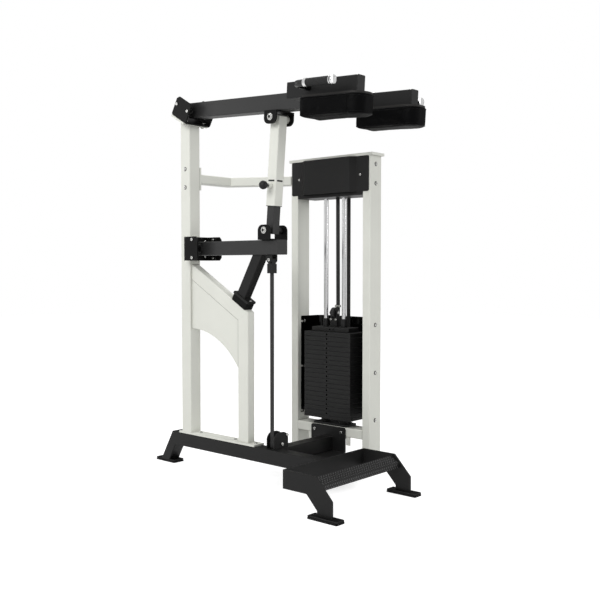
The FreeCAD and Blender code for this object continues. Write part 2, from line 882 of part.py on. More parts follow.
def stop_bolt_places(z):
    end = stop_long / 2 + stop_plate_over - stop_bolt
    return [V(0, stop_shift + y, z) for y in (-end, end)]


def lever_strut():
    """Strut down to the brace, with the flange that its rubber block hangs on."""
    z0 = sliding + stop_thick
    z1 = z0 + stop_plate
    start = strut_foot + post_way * z1
    long = (lever_low - start.z) / math.cos(slant) + strut_deep
    body = cut_off(tube(start, post_way * long, V(1, 0, 0), strut_wide, strut_deep, slim_wall),
                   V(0, 0, lever_low), V(0, 0, 1))
    half = stop_long / 2 + stop_plate_over
    flange = box(-stop_wide / 2, stop_wide / 2, stop_shift - half, stop_shift + half, z0, z1)
    flange = drilled(flange, stop_bolt_places(z0), V(0, 0, 1), stop_plate, small_bolt_r + running)
    return [body, on_brace(flange)]


def stop_block():
    """Rubber block that lands on the slanted brace."""
    half = stop_long / 2
    z1 = sliding + stop_thick
    block = plate("z", sliding, z1, rect(-stop_wide / 2, stop_wide / 2, stop_shift - half, stop_shift + half),
                  stop_round)
    for base in stop_bolt_places(z1):
        block = block.cut(rod(base - V(0, 0, stop_thick / 2), base + V(0, 0, overrun), small_bolt_r))
    return [on_brace(block)]


def lower_shackle():
    """U bracket on the lower lever that holds the link's lower pin."""
    y = lower_shackle_y
    half = shackle_long / 2
    web = box(-shackle_x, shackle_x, y - half, y + half, lever_high, lever_high + shackle_web)
    outline = rect(y - half, y + half, lever_high, link_low.z + lower_shackle_end)
    ear = plate("x", shackle_x - shackle_sheet, shackle_x, outline, [0.0, 0.0, shackle_round, shackle_round])
    for side in both_sides(ear):
        web = web.fuse(side)
    return [drilled(web, [link_low - V(shackle_x, 0, 0)], V(1, 0, 0), shackle_wide, link_pin_r + running)]


def belt_lugs():
    """Two lugs under the lower lever that hold the belt's pin."""
    half = lug_long / 2
    outline = rect(-half, half, belt_pin_z - half, lever_low)
    lug = plate("x", lug_gap / 2, lug_gap / 2 + lug_sheet, outline, [half, half, 0.0, 0.0])
    lug = drilled(lug, [V(lug_gap / 2, 0, belt_pin_z)], V(1, 0, 0), lug_sheet, bolt_r + running)
    return both_sides(lug)


def lever_pins():
    """Lower shaft, the link's lower pin, the belt's pin and the bolts of the rubber block."""
    shaft = rod(lower_pivot - V(shaft_half, 0, 0), lower_pivot + V(shaft_half, 0, 0), shaft_r)
    link_pin = bolt(link_low - V(shackle_x, 0, 0), V(1, 0, 0), shackle_wide, "link")
    lug_x = lug_gap / 2 + lug_sheet
    belt_pin = bolt(V(-lug_x, 0, belt_pin_z), V(1, 0, 0), 2 * lug_x)
    top = sliding + stop_thick + stop_plate
    grip = stop_plate + stop_thick / 2
    stops = [on_brace(bolt(base, V(0, 0, -1), grip, "small", nut=False)) for base in stop_bolt_places(top)]
    return [shaft, link_pin, belt_pin] + stops


# Link between the levers, drawn upright on its lower pin

def link_inner_tube():
    """Inner tube with its lower hub and the row of holes for the pop pin."""
    body = tube(V(0, 0, -inner_below), V(0, 0, inner_below + inner_above), V(1, 0, 0),
                inner_side, inner_side, inner_wall)
    body = body.fuse(rod(V(-bush_half, 0, 0), V(bush_half, 0, 0), lower_bush_r))
    body = drilled(body, [V(-bush_half, 0, 0)], V(1, 0, 0), 2 * bush_half, link_pin_r + running)
    steps = range(-hole_steps, hole_steps + 1)
    bases = [V(-inner_side / 2, 0, pop_z + i * hole_pitch) for i in steps]
    return [on_link(drilled(body, bases, V(1, 0, 0), inner_wall, pop_pin_r + pop_play))]


def pop_bore(shape):
    """Cuts the pop pin's bore through boss, tube wall and liner."""
    start = V(-outer_side / 2 - pop_boss, 0, pop_z)
    return drilled(shape, [start], V(1, 0, 0), pop_boss + outer_wall + liner_wall, pop_pin_r + running)


def tab_height():
    return outer_end + tab_from_end


def link_outer_tube():
    """Outer tube with its upper hub, the slots for the liner's tabs and the boss of the pop pin."""
    half = outer_side / 2
    body = tube(V(0, 0, outer_end), V(0, 0, outer_reach + outer_above), V(1, 0, 0),
                outer_side, outer_side, outer_wall)
    top = V(0, 0, link_length)
    body = body.fuse(rod(top - V(bush_half, 0, 0), top + V(bush_half, 0, 0), upper_bush_r))
    body = drilled(body, [top - V(bush_half, 0, 0)], V(1, 0, 0), 2 * bush_half, link_pin_r + open_pivot)
    z = tab_height()
    body = body.cut(box(-half - overrun, half + overrun, -liner_tab_wide / 2, liner_tab_wide / 2,
                        z - liner_tab_long / 2, z + liner_tab_long / 2))
    boss = rod(V(-half - pop_boss, 0, pop_z), V(-half + outer_wall / 2, 0, pop_z), pop_boss_r)
    return [on_link(pop_bore(body.fuse(boss)))]


def link_liner():
    """Plastic liner inside the outer tube's lower end, with a lip below it and a tab in each slot."""
    side = outer_side - 2 * outer_wall
    bore = side - 2 * liner_wall
    body = bar(V(0, 0, outer_end), V(0, 0, liner_long), V(1, 0, 0), side, side, tube_corner)
    body = body.fuse(bar(V(0, 0, outer_end - liner_lip), V(0, 0, liner_lip), V(1, 0, 0),
                         outer_side, outer_side, tube_corner))
    wide = liner_tab_wide / 2 - running
    tall = liner_tab_long / 2 - running
    z = tab_height()
    body = body.fuse(box(-outer_side / 2, outer_side / 2, -wide, wide, z - tall, z + tall))
    body = body.cut(bar(V(0, 0, outer_end - liner_lip - overrun), V(0, 0, liner_lip + liner_long + 2 * overrun),
                        V(1, 0, 0), bore, bore))
    return [on_link(pop_bore(body))]


def pop_pin():
    """Plunger with a ball knob, drawn out of the inner tube's hole so that the link can slide."""
    tip = outer_side / 2 - outer_wall - liner_wall
    neck = outer_side / 2 + pop_boss + pop_push + sliding
    body = rod(V(-tip, 0, pop_z), V(-neck, 0, pop_z), pop_pin_r)
    body = body.fuse(rod(V(-neck, 0, pop_z), V(-pop_knob_out, 0, pop_z), pop_neck_r))
    return [on_link(body.fuse(Part.makeSphere(pop_knob_r, V(-pop_knob_out, 0, pop_z))))]


# Upper lever, drawn level with its pivot at the origin and its front at -Y

def upper_shaft():
    return [rod(upper_pivot - V(shaft_half, 0, 0), upper_pivot + V(shaft_half, 0, 0), shaft_r)]


def upper_lever():
    """Lever tube with the hub that turns on the upper shaft."""
    body = tube(V(0, 0, -upper_drop), V(0, -upper_long, 0), V(1, 0, 0), upper_wide, upper_tall, beam_wall)
    body = body.fuse(rod(V(-hub_half, 0, 0), V(hub_half, 0, 0), hub_r))
    return [upper(drilled(body, [V(-hub_half, 0, 0)], V(1, 0, 0), 2 * hub_half, shaft_r + running))]


def upper_shackle():
    """U bracket under the upper lever that holds the link's upper pin."""
    half = shackle_long / 2
    y = -upper_pin_s
    pin_z = upper_low - upper_pin_down
    web = box(-shackle_x, shackle_x, y - half, y + half, upper_low - shackle_web, upper_low)
    outline = rect(y - half, y + half, pin_z - upper_shackle_end, upper_low)
    ear = plate("x", shackle_x - shackle_sheet, shackle_x, outline, [shackle_round, shackle_round, 0.0, 0.0])
    for side in both_sides(ear):
        web = web.fuse(side)
    web = drilled(web, [V(-shackle_x, y, pin_z)], V(1, 0, 0), shackle_wide, link_pin_r + running)
    return [upper(web)]


def upper_pins():
    """The link's upper pin and the bolts that hold the pads."""
    made = [bolt(link_high - V(shackle_x, 0, 0), V(1, 0, 0), shackle_wide, "link")]
    for base in pad_bolt_places(arm_top):
        made.append(upper(bolt(base, V(0, 0, -1), arm_tall + board_thick, nut=False)))
    return made


def pad_bolt_places(z):
    return [V(x, -s, z) for x in (-arm_x, arm_x) for s in pad_bolt_s]


def shoulder_arms():
    """Cross tube and the two arms that it carries."""
    long = arm_x - arm_wide / 2
    middle = upper_long + cross_deep / 2
    cross = tube(V(-long, -middle, arm_mid), V(2 * long, 0, 0), V(0, 1, 0), cross_deep, arm_tall, slim_wall)
    start = upper_long + cap_thick
    made = [cross]
    for side in (-1, 1):
        arm = tube(V(side * arm_x, -start, arm_mid), V(0, start - arm_end, 0), V(1, 0, 0),
                   arm_wide, arm_tall, slim_wall)
        made.append(drilled(arm, pad_bolt_places(arm_low), V(0, 0, 1), arm_tall, bolt_r + running))
    return [upper(shape) for shape in made]


def arm_caps():
    """Plastic end caps of the arms."""
    made = []
    for s in (upper_long, arm_end):
        cap = bar(V(arm_x, -s, arm_mid), V(0, -cap_thick, 0), V(1, 0, 0), arm_wide, arm_tall, tube_corner)
        made += both_sides(cap)
    return [upper(shape) for shape in made]


def pad_outline(inset):
    """Outline of a pad, drawn in by inset: square at the back, with a half round nose."""
    half = pad_wide / 2 - inset
    corner = pad_back_round * half / (pad_wide / 2)
    points = rect(arm_x - half, arm_x + half, -pad_straight - half, -pad_back - inset)
    return points, [half, half, corner, corner]


def pad_boards():
    """Boards that the pads are covered over, under the arms."""
    points, radii = pad_outline(board_inset)
    board = plate("z", arm_low - board_thick, arm_low, points, radii)
    board = drilled(board, pad_bolt_places(arm_low - board_thick), V(0, 0, 1), board_thick, bolt_r + running)
    return [upper(shape) for shape in both_sides(board)]


def pad_levels():
    """Inset and height of the outlines of a pad: rounded edges, a slight bulge and the crown below."""
    top = arm_low - board_thick
    low = pad_crown - pad_low
    turns = [i * math.pi / 2 / edge_steps for i in range(edge_steps + 1)]
    round_off = [(pad_edge * (1 - math.sin(a)), pad_edge * (1 - math.cos(a))) for a in turns]
    levels = [(inset, top - down) for inset, down in round_off]
    levels.append((-pad_bulge, (top + low) / 2))
    levels += [(inset, low + up) for inset, up in reversed(round_off)]
    for inset_share, crown_share in crown_shares:
        levels.append((pad_edge + inset_share * (pad_wide / 2 - pad_edge), low - crown_share * pad_crown))
    return levels


def shoulder_pads():
    wires = []
    for inset, z in pad_levels():
        points, radii = pad_outline(inset)
        wires.append(rounded([V(x, y, z) for x, y in points], radii))
    pad = Part.makeLoft(wires, True, True)
    return [upper(shape) for shape in both_sides(pad)]


def handle_rods():
    """Bent rods that leave the arms sideways and turn forward through the grips."""
    side = arm_x + arm_wide / 2
    turn_x = handle_x - handle_bend
    turn_s = handle_s + handle_bend
    out = rod(V(side, -handle_s, 0), V(turn_x, -handle_s, 0), rod_r)
    section = Part.Face(Part.Wire(Part.makeCircle(rod_r, V(turn_x, -handle_s, 0), V(1, 0, 0))))
    bend = section.revolve(V(turn_x, -turn_s, 0), V(0, 0, -1), quarter_turn)
    forward = rod(V(handle_x, -turn_s, 0), V(handle_x, -grip_end, 0), rod_r)
    return [upper(shape) for shape in both_sides(out.fuse(bend).fuse(forward))]


def handle_grips():
    grip = ring(V(handle_x, -grip_start, 0), V(handle_x, -grip_end, 0), grip_r, rod_r)
    return [upper(shape) for shape in both_sides(grip)]


def handle_caps():
    """Chrome rings behind the grips and grooved chrome caps on their ends."""
    collar = ring(V(handle_x, ring_long - grip_start, 0), V(handle_x, -grip_start, 0), ring_r, rod_r)
    groove = knob_long / 2
    half = knob_groove / 2
    deep = knob_r - knob_groove
    points = [(0, 0), (knob_r, 0), (knob_r, groove - half), (deep, groove - half), (deep, groove + half),
              (knob_r, groove + half), (knob_r, knob_long - knob_round), (knob_r - knob_round, knob_long),
              (0, knob_long)]
    cap = turned(points, V(handle_x, -grip_end, 0), V(0, -1, 0))
    return [upper(shape) for shape in both_sides(collar) + both_sides(cap)]


# Belt and pulleys

def strap(start, end):
    """Straight belt between two points of its middle line."""
    return bar(start, end - start, V(0, 1, 0), belt_wide, belt_thick)


def wrap(centre, r, first, turn):
    """Belt that lies on a pulley, from an angle (degrees from +X towards +Z) through a turn."""
    inner = r + sliding
    half = belt_wide / 2
    points = [V(inner, -half, 0), V(inner + belt_thick, -half, 0), V(inner + belt_thick, half, 0), V(inner, half, 0)]
    face = Part.Face(rounded(points))
    face.rotate(V(0, 0, 0), V(0, -1, 0), first)
    shape = face.revolve(V(0, 0, 0), V(0, -1, 0), turn)
    shape.translate(centre)
    return shape


def joined(shapes):
    body = shapes[0]
    for shape in shapes[1:]:
        body = body.fuse(shape)
    return [body.removeSplitter()]


def strand_angle():
    """Slope of the stack's belt strand from the vertical, between top pulley and roller, in radians."""
    line = roller - top_pulley
    reach_both = top_pulley_r + roller_r + 2 * belt_gap
    return math.asin(reach_both / line.Length) - math.atan2(-line.x, -line.z)


def strand_side():
    """Unit direction square to the stack's belt strand, from the roller towards it."""
    a = strand_angle()
    return V(math.cos(a), 0, math.sin(a))


def strand_point(z):
    """Point of the strand's middle line at a height."""
    foot = roller + strand_side() * (roller_r + belt_gap)
    return foot + V(-math.tan(strand_angle()) * (z - foot.z), 0, z - foot.z)


def belt_run():
    """Belt round the front pulley, under the tower and up behind it, over the top pulley."""
    under_front = V(front_pulley.x, 0, belt_run_z)
    under_rear = V(rear_pulley.x, 0, belt_run_z)
    behind_rear = V(rear_belt_x, 0, rear_pulley.z)
    behind_top = V(rear_belt_x, 0, top_pulley.z)
    over_top = half_turn + math.degrees(strand_angle())
    return joined([wrap(front_pulley, front_pulley_r, half_turn, quarter_turn), strap(under_front, under_rear),
                   wrap(rear_pulley, rear_pulley_r, -quarter_turn, quarter_turn), strap(behind_rear, behind_top),
                   wrap(top_pulley, top_pulley_r, 0, over_top)])


def lever_strand():
    return [strap(V(0, 0, front_pulley_z), V(0, 0, clamp_low))]


def stack_strand():
    top = top_pulley - strand_side() * (top_pulley_r + belt_gap)
    return [strap(strand_point(clip_top), top)]


def belt_loop():
    """End of the belt, taken round the stack's roller and up beside itself to its clip."""
    meet = strand_point(clip_low) - strand_side() * belt_thick
    end = strand_point(clip_top) - strand_side() * belt_thick
    away = meet - roller
    r = roller_r + belt_gap
    angle = math.atan2(away.z, away.x) + math.acos(r / away.Length)
    touch = roller + V(r * math.cos(angle), 0, r * math.sin(angle))
    lean = math.degrees(strand_angle())
    back = whole_turn + lean - math.degrees(angle)
    start = roller + strand_side() * r
    body = joined([wrap(roller, roller_r, math.degrees(angle), back), strap(start, strand_point(clip_top)),
                   strap(touch, meet), strap(meet, end)])
    return [drilled(body[0], [clip_base()], strand_side() * -1, clip_grip(), small_bolt_r + running)]


def clip_base():
    """Point under the head of the clip's bolt, on its rear plate."""
    return strand_point(belt_clip_z) + strand_side() * (belt_thick / 2 + clip_sheet)


def clip_grip():
    return 2 * (belt_thick + clip_sheet) + clip_slack


def head_bolts():
    """Clip of the belt's end, two small plates and a bolt, the roller's axle and the clevis bolts."""
    side = strand_side()
    along = V(-side.z, 0, side.x)
    start = strand_point(belt_clip_z) - along * (clip_tall / 2)
    rear = bar(start + side * (belt_thick / 2 + clip_sheet / 2), along * clip_tall, V(0, 1, 0), clip_wide, clip_sheet)
    front = rear.copy()
    front.translate(side * (clip_sheet - clip_grip()))
    plates = [drilled(shape, [clip_base()], side * -1, clip_grip(), small_bolt_r + running)
              for shape in (rear, front)]
    made = plates + [bolt(clip_base(), side * -1, clip_grip(), "small")]
    made.append(bolt(roller - V(0, clevis_wide / 2, 0), V(0, 1, 0), clevis_wide, "axle"))
    return made + [bolt(base, V(1, 0, 0), clevis_block, "small", nut=False) for base in clevis_places()]


def clamp_block():
    """Block on the lever's belt strand, with the eye that hangs on the belt's pin."""
    block = box(-clamp_wide / 2, clamp_wide / 2, -clamp_long / 2, clamp_long / 2, clamp_low, clamp_top)
    x = clamp_eye_r
    block = block.fuse(box(-x, x, -clamp_eye_r, clamp_eye_r, clamp_top, belt_pin_z))
    block = block.fuse(rod(V(-x, 0, belt_pin_z), V(x, 0, belt_pin_z), clamp_eye_r))
    return [drilled(block, [V(-x, 0, belt_pin_z)], V(1, 0, 0), 2 * x, bolt_r + clamp_play)]


def pulley(centre, r, half):
    """Flanged pulley with a thin web, turned about Y: half is half the length of its hub."""
    side = pulley_wide / 2
    web = pulley_web / 2
    inner = r - pulley_rim
    rim = r + flange_rim
    bore = axle_r + running
    points = [(bore, -half), (pulley_hub_r, -half), (pulley_hub_r, -web), (inner, -web), (inner, -side),
              (rim, -side), (rim, flange_thick - side), (r, flange_thick - side), (r, side - flange_thick),
              (rim, side - flange_thick), (rim, side), (inner, side), (inner, web), (pulley_hub_r, web),
              (pulley_hub_r, half), (bore, half)]
    return [turned(points, centre, V(0, 1, 0))]


def housing_axles():
    """Places of the housing's two bolts: the pulley's axle and the spacer above it."""
    return [front_pulley, V(spacer_x, 0, spacer_z)]


def pulley_housing():
    """Two cheeks beside the front pulley, welded on the beams, and the spacer between them."""
    y0 = housing_gap / 2
    outline = rect(housing_front, housing_front + housing_long, beam_top, housing_top)
    cheek = plate("y", y0, y0 + housing_sheet, outline, [0.0, 0.0, housing_round, housing_round])
    bases = [place + V(0, y0, 0) for place in housing_axles()]
    cheek = drilled(cheek, bases, V(0, 1, 0), housing_sheet, axle_r + running)
    middle = housing_axles()[1]
    spacer = ring(middle - V(0, y0, 0), middle + V(0, y0, 0), spacer_r, axle_r + running)
    return across_belt(cheek) + [spacer]


def rear_pulley_bracket():
    """Two cheeks on the tower's cross member that hold the rear pulley."""
    y0 = cheek_gap / 2
    outline = rect(tower_back, rear_bracket_end, rear_bracket_low, cross_high)
    cheek = plate("y", y0, y0 + rear_cheek, outline, [0.0, rear_bracket_round, rear_bracket_round, 0.0])
    base = rear_pulley + V(0, y0, 0)
    return across_belt(drilled(cheek, [base], V(0, 1, 0), rear_cheek, axle_r + running))


# Weight tower

def connecting_plate():
    """Plate on the end of the cross beam, with a slot for the belt, bolted to the tower."""
    x0 = tower_x - connect_sheet
    half = connect_wide / 2
    shape = plate("x", x0, tower_x, rect(-half, half, connect_low, connect_top), connect_round)
    shape = drilled(shape, connect_places(x0), V(1, 0, 0), connect_sheet, bolt_r + running)
    wide = belt_wide / 2 + overrun
    tall = belt_thick / 2 + overrun
    return [shape.cut(box(x0 - overrun, tower_x + overrun, -wide, wide, belt_run_z - tall, belt_run_z + tall))]


def connect_places(x):
    return [V(x, y, connect_bolt_z) for y in (-connect_bolt_y, connect_bolt_y)]


def under_plate():
    """Plate under the corner of the beams, from the platform's back to the connecting plate."""
    side = beam / 2 - under_lap
    x1 = tower_x - connect_sheet
    outline = [(side, beam_front_y), (under_front_x, beam_front_y), (x1, -connect_wide / 2), (x1, -side),
               (side, -side)]
    return [plate("z", beam_low - under_sheet, beam_low, outline)]


def tower_uprights():
    """Two rectangular tubes, with the holes of the bolts that hold carrier and shroud."""
    middle = V(tower_mid, tower_half + slim / 2, tower_foot)
    body = tube(middle, V(0, 0, tower_top - tower_foot), V(1, 0, 0), tower_deep, slim, tower_wall)
    bases = [V(tower_mid, tower_half, z) for z in carrier_bolt_z + list(shroud_bolt_z)]
    return across_belt(drilled(body, bases, V(0, 1, 0), slim, bolt_r + running))


def tower_top_plate():
    return [box(tower_x - top_plate_front, tower_back + top_plate_back, -tower_side - top_plate_side,
                tower_side + top_plate_side, tower_top, tower_top + top_plate)]


def tower_cross_member():
    """Tube between the uprights' feet, with two corner plates under it."""
    z = cross_low + cross_tall / 2
    body = tube(V(tower_mid, -tower_half, z), V(0, tower_gap, 0), V(1, 0, 0), tower_deep, cross_tall, tower_wall)
    body = drilled(body, connect_places(tower_x), V(1, 0, 0), tower_wall, bolt_r + running)
    y0 = connect_wide / 2 + overrun
    corner = box(tower_x, tower_x + corner_plate, y0, y0 + corner_plate_wide, cross_low - corner_plate_tall, cross_low)
    return [body] + across_belt(corner)


def pulley_carrier():
    """Bent carrier under the tower's top: floor, front web, two ends and two cheeks for the top pulley."""
    floor_top = carrier_low + carrier_sheet
    floor = box(tower_x, tower_x + carrier_deep, -tower_half, tower_half, carrier_low, floor_top)
    slot = strand_point(carrier_low).x
    reach_x = belt_thick / 2 + carrier_slot
    half = belt_wide / 2 + overrun
    floor = floor.cut(box(slot - reach_x, slot + reach_x, -half, half, carrier_low - overrun, floor_top + overrun))
    web = box(tower_x, tower_x + carrier_sheet, -tower_half, tower_half, floor_top, carrier_top)
    bases = [V(tower_x, y, cover_bolt_z) for y in (-cover_bolt_y, cover_bolt_y)]
    web = drilled(web, bases, V(1, 0, 0), carrier_sheet, small_bolt_r + running)
    end = box(tower_x + carrier_sheet, tower_back, tower_half - carrier_sheet, tower_half, floor_top, carrier_end_top)
    bases = [V(tower_mid, tower_half - carrier_sheet, z) for z in carrier_bolt_z]
    end = drilled(end, bases, V(0, 1, 0), carrier_sheet, bolt_r + running)
    y0 = cheek_gap / 2
    outline = rect(tower_x + carrier_sheet, tower_x + carrier_deep, floor_top, cheek_top)
    cheek = plate("y", y0, y0 + cheek_sheet, outline, [0.0, 0.0, cheek_round, 0.0])
    cheek = drilled(cheek, [top_pulley + V(0, y0, 0)], V(0, 1, 0), cheek_sheet, axle_r + running)
    return joined([floor, web] + across_belt(end) + across_belt(cheek))


def tower_cover():
    """Front cover bent to a shallow hat, with round corners, screwed to the carrier."""
    x1 = tower_x
    x0 = tower_x - cover_stand - cover_sheet
    sheet = cover_sheet
    outer = [(x1, -cover_half), (x1 - sheet, -cover_half), (x1 - sheet, -cover_step), (x0, -cover_flat),
             (x0, cover_flat), (x1 - sheet, cover_step), (x1 - sheet, cover_half), (x1, cover_half)]
    inner = [(x1, cover_step), (x0 + sheet, cover_flat), (x0 + sheet, -cover_flat), (x1, -cover_step)]
    shape = plate("z", cover_low, tower_top, outer + inner)
    shape = shape.common(plate("x", x0, x1, rect(-cover_half, cover_half, cover_low, tower_top), cover_corner))
    bases = [V(x1 - sheet, y, cover_bolt_z) for y in (-cover_bolt_y, cover_bolt_y)]
    return [drilled(shape, bases, V(1, 0, 0), sheet, small_bolt_r + running)]


def rear_shroud():
    """Sheet bent round the stack's sides and back, with open slots for its bolts."""
    y = tower_half
    inside = shroud_corner - shroud_sheet
    x1 = shroud_back
    shape = plate("z", shroud_low, shroud_top, rect(shroud_front, x1, -y, y), [0.0, shroud_corner, shroud_corner, 0.0])
    y -= shroud_sheet
    x1 -= shroud_sheet
    shape = shape.cut(plate("z", shroud_low - overrun, shroud_top + overrun,
                            rect(shroud_front - overrun, x1, -y, y), [0.0, inside, inside, 0.0]))
    for z in shroud_bolt_z:
        shape = shape.cut(box(shroud_front - overrun, shroud_front + slot_deep, -tower_side, tower_side,
                              z - slot_tall / 2, z + slot_tall / 2))
    return [shape]


def tie_bolt_z():
    return [tie_z - tie_bolt_gap / 2, tie_z + tie_bolt_gap / 2]


def tie_bar():
    """Bar from the post to the far upright, mitred, with the plate that bolts it to the post."""
    turn = math.radians(tie_angle)
    along = V(math.cos(turn), -math.sin(turn), 0)
    front = V(tower_x - tie_far_inset - (post_y0 - tower_side) / math.tan(turn), post_y0, tie_z)
    square = V(1 + math.cos(turn), -math.sin(turn), 0)
    side = V(0, 0, 1)
    first = tube(V(tie_side_x, post_y, tie_z), V(front.x + tie_deep, 0, 0), side, tie_tall, tie_deep, slim_wall)
    out = V(math.sin(turn), math.cos(turn), 0)
    start = front + out * (tie_deep / 2) - along * tie_deep
    long = (post_y0 - tower_side) / math.sin(turn) + 3 * tie_deep
    second = tube(start, along * long, side, tie_tall, tie_deep, slim_wall)
    first = cut_off(first, front, square)
    second = cut_off(cut_off(second, front, square * -1), V(0, tower_side, 0), V(0, -1, 0))
    half = tie_plate_tall / 2
    end = box(beam / 2, tie_side_x, post_y0, post_y1, tie_z - half, tie_z + half)
    bases = [V(beam / 2, post_y, z) for z in tie_bolt_z()]
    return [first, second, drilled(end, bases, V(1, 0, 0), weld_plate, bolt_r + running)]


def guide_places(z):
    return [V(guide_x, y, z) for y in (-guide_y, guide_y)]


def guide_rods():
    return [rod(base, base + V(0, 0, carrier_low - cross_high), guide_r) for base in guide_places(cross_high)]


def slab(low, high, wide, deep, guide_hole, stem_hole):
    """Flat weight with bevelled edges, its two guide holes and the stem's hole."""
    shape = box(guide_x - deep / 2, guide_x + deep / 2, -wide / 2, wide / 2, low, high)
    shape = shape.makeChamfer(plate_chamfer, shape.Edges)
    shape = drilled(shape, guide_places(low), V(0, 0, 1), high - low, guide_hole)
    return drilled(shape, [V(guide_x, 0, low)], V(0, 0, 1), high - low, stem_hole)


def weight_plates():
    """Stack of equal plates, each with a hole from its front to the stem for the selector pin."""
    made = []
    for i in range(plate_count):
        low = stack_z + i * (plate_thick + plate_gap)
        shape = slab(low, low + plate_thick, plate_wide, plate_deep, guide_r + guide_clear, stem_r + guide_clear)
        front = V(plates_front, 0, low + plate_thick / 2)
        made.append(drilled(shape, [front], V(1, 0, 0), plate_deep / 2, pin_hole_r))
    return made


def stack_base():
    """Base plate of the stack, on two rubber cushions and the rest under them."""
    half = plate_wide / 2
    base = box(plates_front, plates_back, -half, half, stack_low, stack_z)
    made = [drilled(base, guide_places(stack_low), V(0, 0, 1), stack_base_thick, guide_r + guide_clear)]
    x0 = guide_x - rest_deep / 2
    rest = box(x0, x0 + rest_deep, -rest_wide / 2, rest_wide / 2, cross_high, cross_high + rest_thick)
    made.append(drilled(rest, guide_places(cross_high), V(0, 0, 1), rest_thick, guide_r + guide_clear))
    for place in guide_places(cross_high + rest_thick):
        top = place + V(0, 0, stack_low - cross_high - rest_thick)
        made.append(ring(place, top, cushion_r, guide_r + guide_clear))
    return made


def head_plate():
    """Top plate of the stack, which the belt lifts."""
    shape = slab(head_low, head_high, head_wide, head_deep, sleeve_r, stem_r)
    for y in (0.0, head_hole_y):
        front = V(guide_x - head_deep / 2, y, head_low + head_thick / 2)
        shape = shape.cut(rod(front - V(overrun, 0, 0), front + V(head_hole_deep, 0, 0), head_hole_r))
    return [shape]


def head_sleeves():
    """Sleeves of the head plate on the guide rods, and the stem that hangs through the stack."""
    stem = rod(V(guide_x, 0, stack_z + plate_gap), V(guide_x, 0, head_high), stem_r)
    return [stem] + [ring(base, base + V(0, 0, head_thick + sleeve_up), sleeve_r, guide_r + sleeve_fit)
                     for base in guide_places(head_low)]


def clevis_places():
    return [V(guide_x - clevis_block / 2, y, clevis_bolt_z) for y in (-clevis_bolt_y, clevis_bolt_y)]


def head_clevis():
    """Block on the head plate with the two cheeks of the belt's roller."""
    x0 = guide_x - clevis_block / 2
    half = clevis_wide / 2
    block_top = roller_z - roller_r - belt_gap - belt_thick
    block = box(x0, x0 + clevis_block, -half, half, head_high, block_top)
    outline = rect(x0, x0 + clevis_block, block_top, roller_z + clevis_round)
    cheek = plate("y", half - clevis_sheet, half, outline, [0.0, 0.0, clevis_round, clevis_round])
    cheek = drilled(cheek, [roller + V(0, half - clevis_sheet, 0)], V(0, 1, 0), clevis_sheet, axle_r + running)
    block = drilled(block, clevis_places(), V(1, 0, 0), clevis_block, small_bolt_r + running)
    wheel = ring(roller - V(0, roller_wide / 2, 0), roller + V(0, roller_wide / 2, 0), roller_r, axle_r + running)
    return joined([block] + across_belt(cheek)) + [wheel]


def frame_bolts():
    """Bolts of base plate, connecting plate, tie bar, tower and cover, and the pulleys' axles."""
    made = [bolt(V(0, y, frame_z), V(0, 0, -1), weld_plate + beam) for y in base_bolt_y]
    made += [bolt(base, V(1, 0, 0), connect_sheet + tower_wall) for base in connect_places(tower_x - connect_sheet)]
    made += [bolt(V(-beam / 2, post_y, z), V(1, 0, 0), beam + weld_plate) for z in tie_bolt_z()]
    for places, sheet in ((carrier_bolt_z, carrier_sheet), (shroud_bolt_z, shroud_sheet)):
        for z in places:
            made += across_belt(bolt(V(tower_mid, tower_side, z), V(0, -1, 0), slim + sheet))
    cover = V(tower_x - cover_sheet, cover_bolt_y, cover_bolt_z)
    made += across_belt(bolt(cover, V(1, 0, 0), cover_sheet + carrier_sheet, "small"))
    for place in housing_axles():
        made.append(bolt(place - V(0, housing_gap / 2 + housing_sheet, 0), V(0, 1, 0),
                         housing_gap + 2 * housing_sheet, "axle"))
    for place, sheet in ((rear_pulley, rear_cheek), (top_pulley, cheek_sheet)):
        made.append(bolt(place - V(0, cheek_gap / 2 + sheet, 0), V(0, 1, 0), cheek_gap + 2 * sheet, "axle"))
    return made


# All pieces, and the origin moved to the middle of the footprint

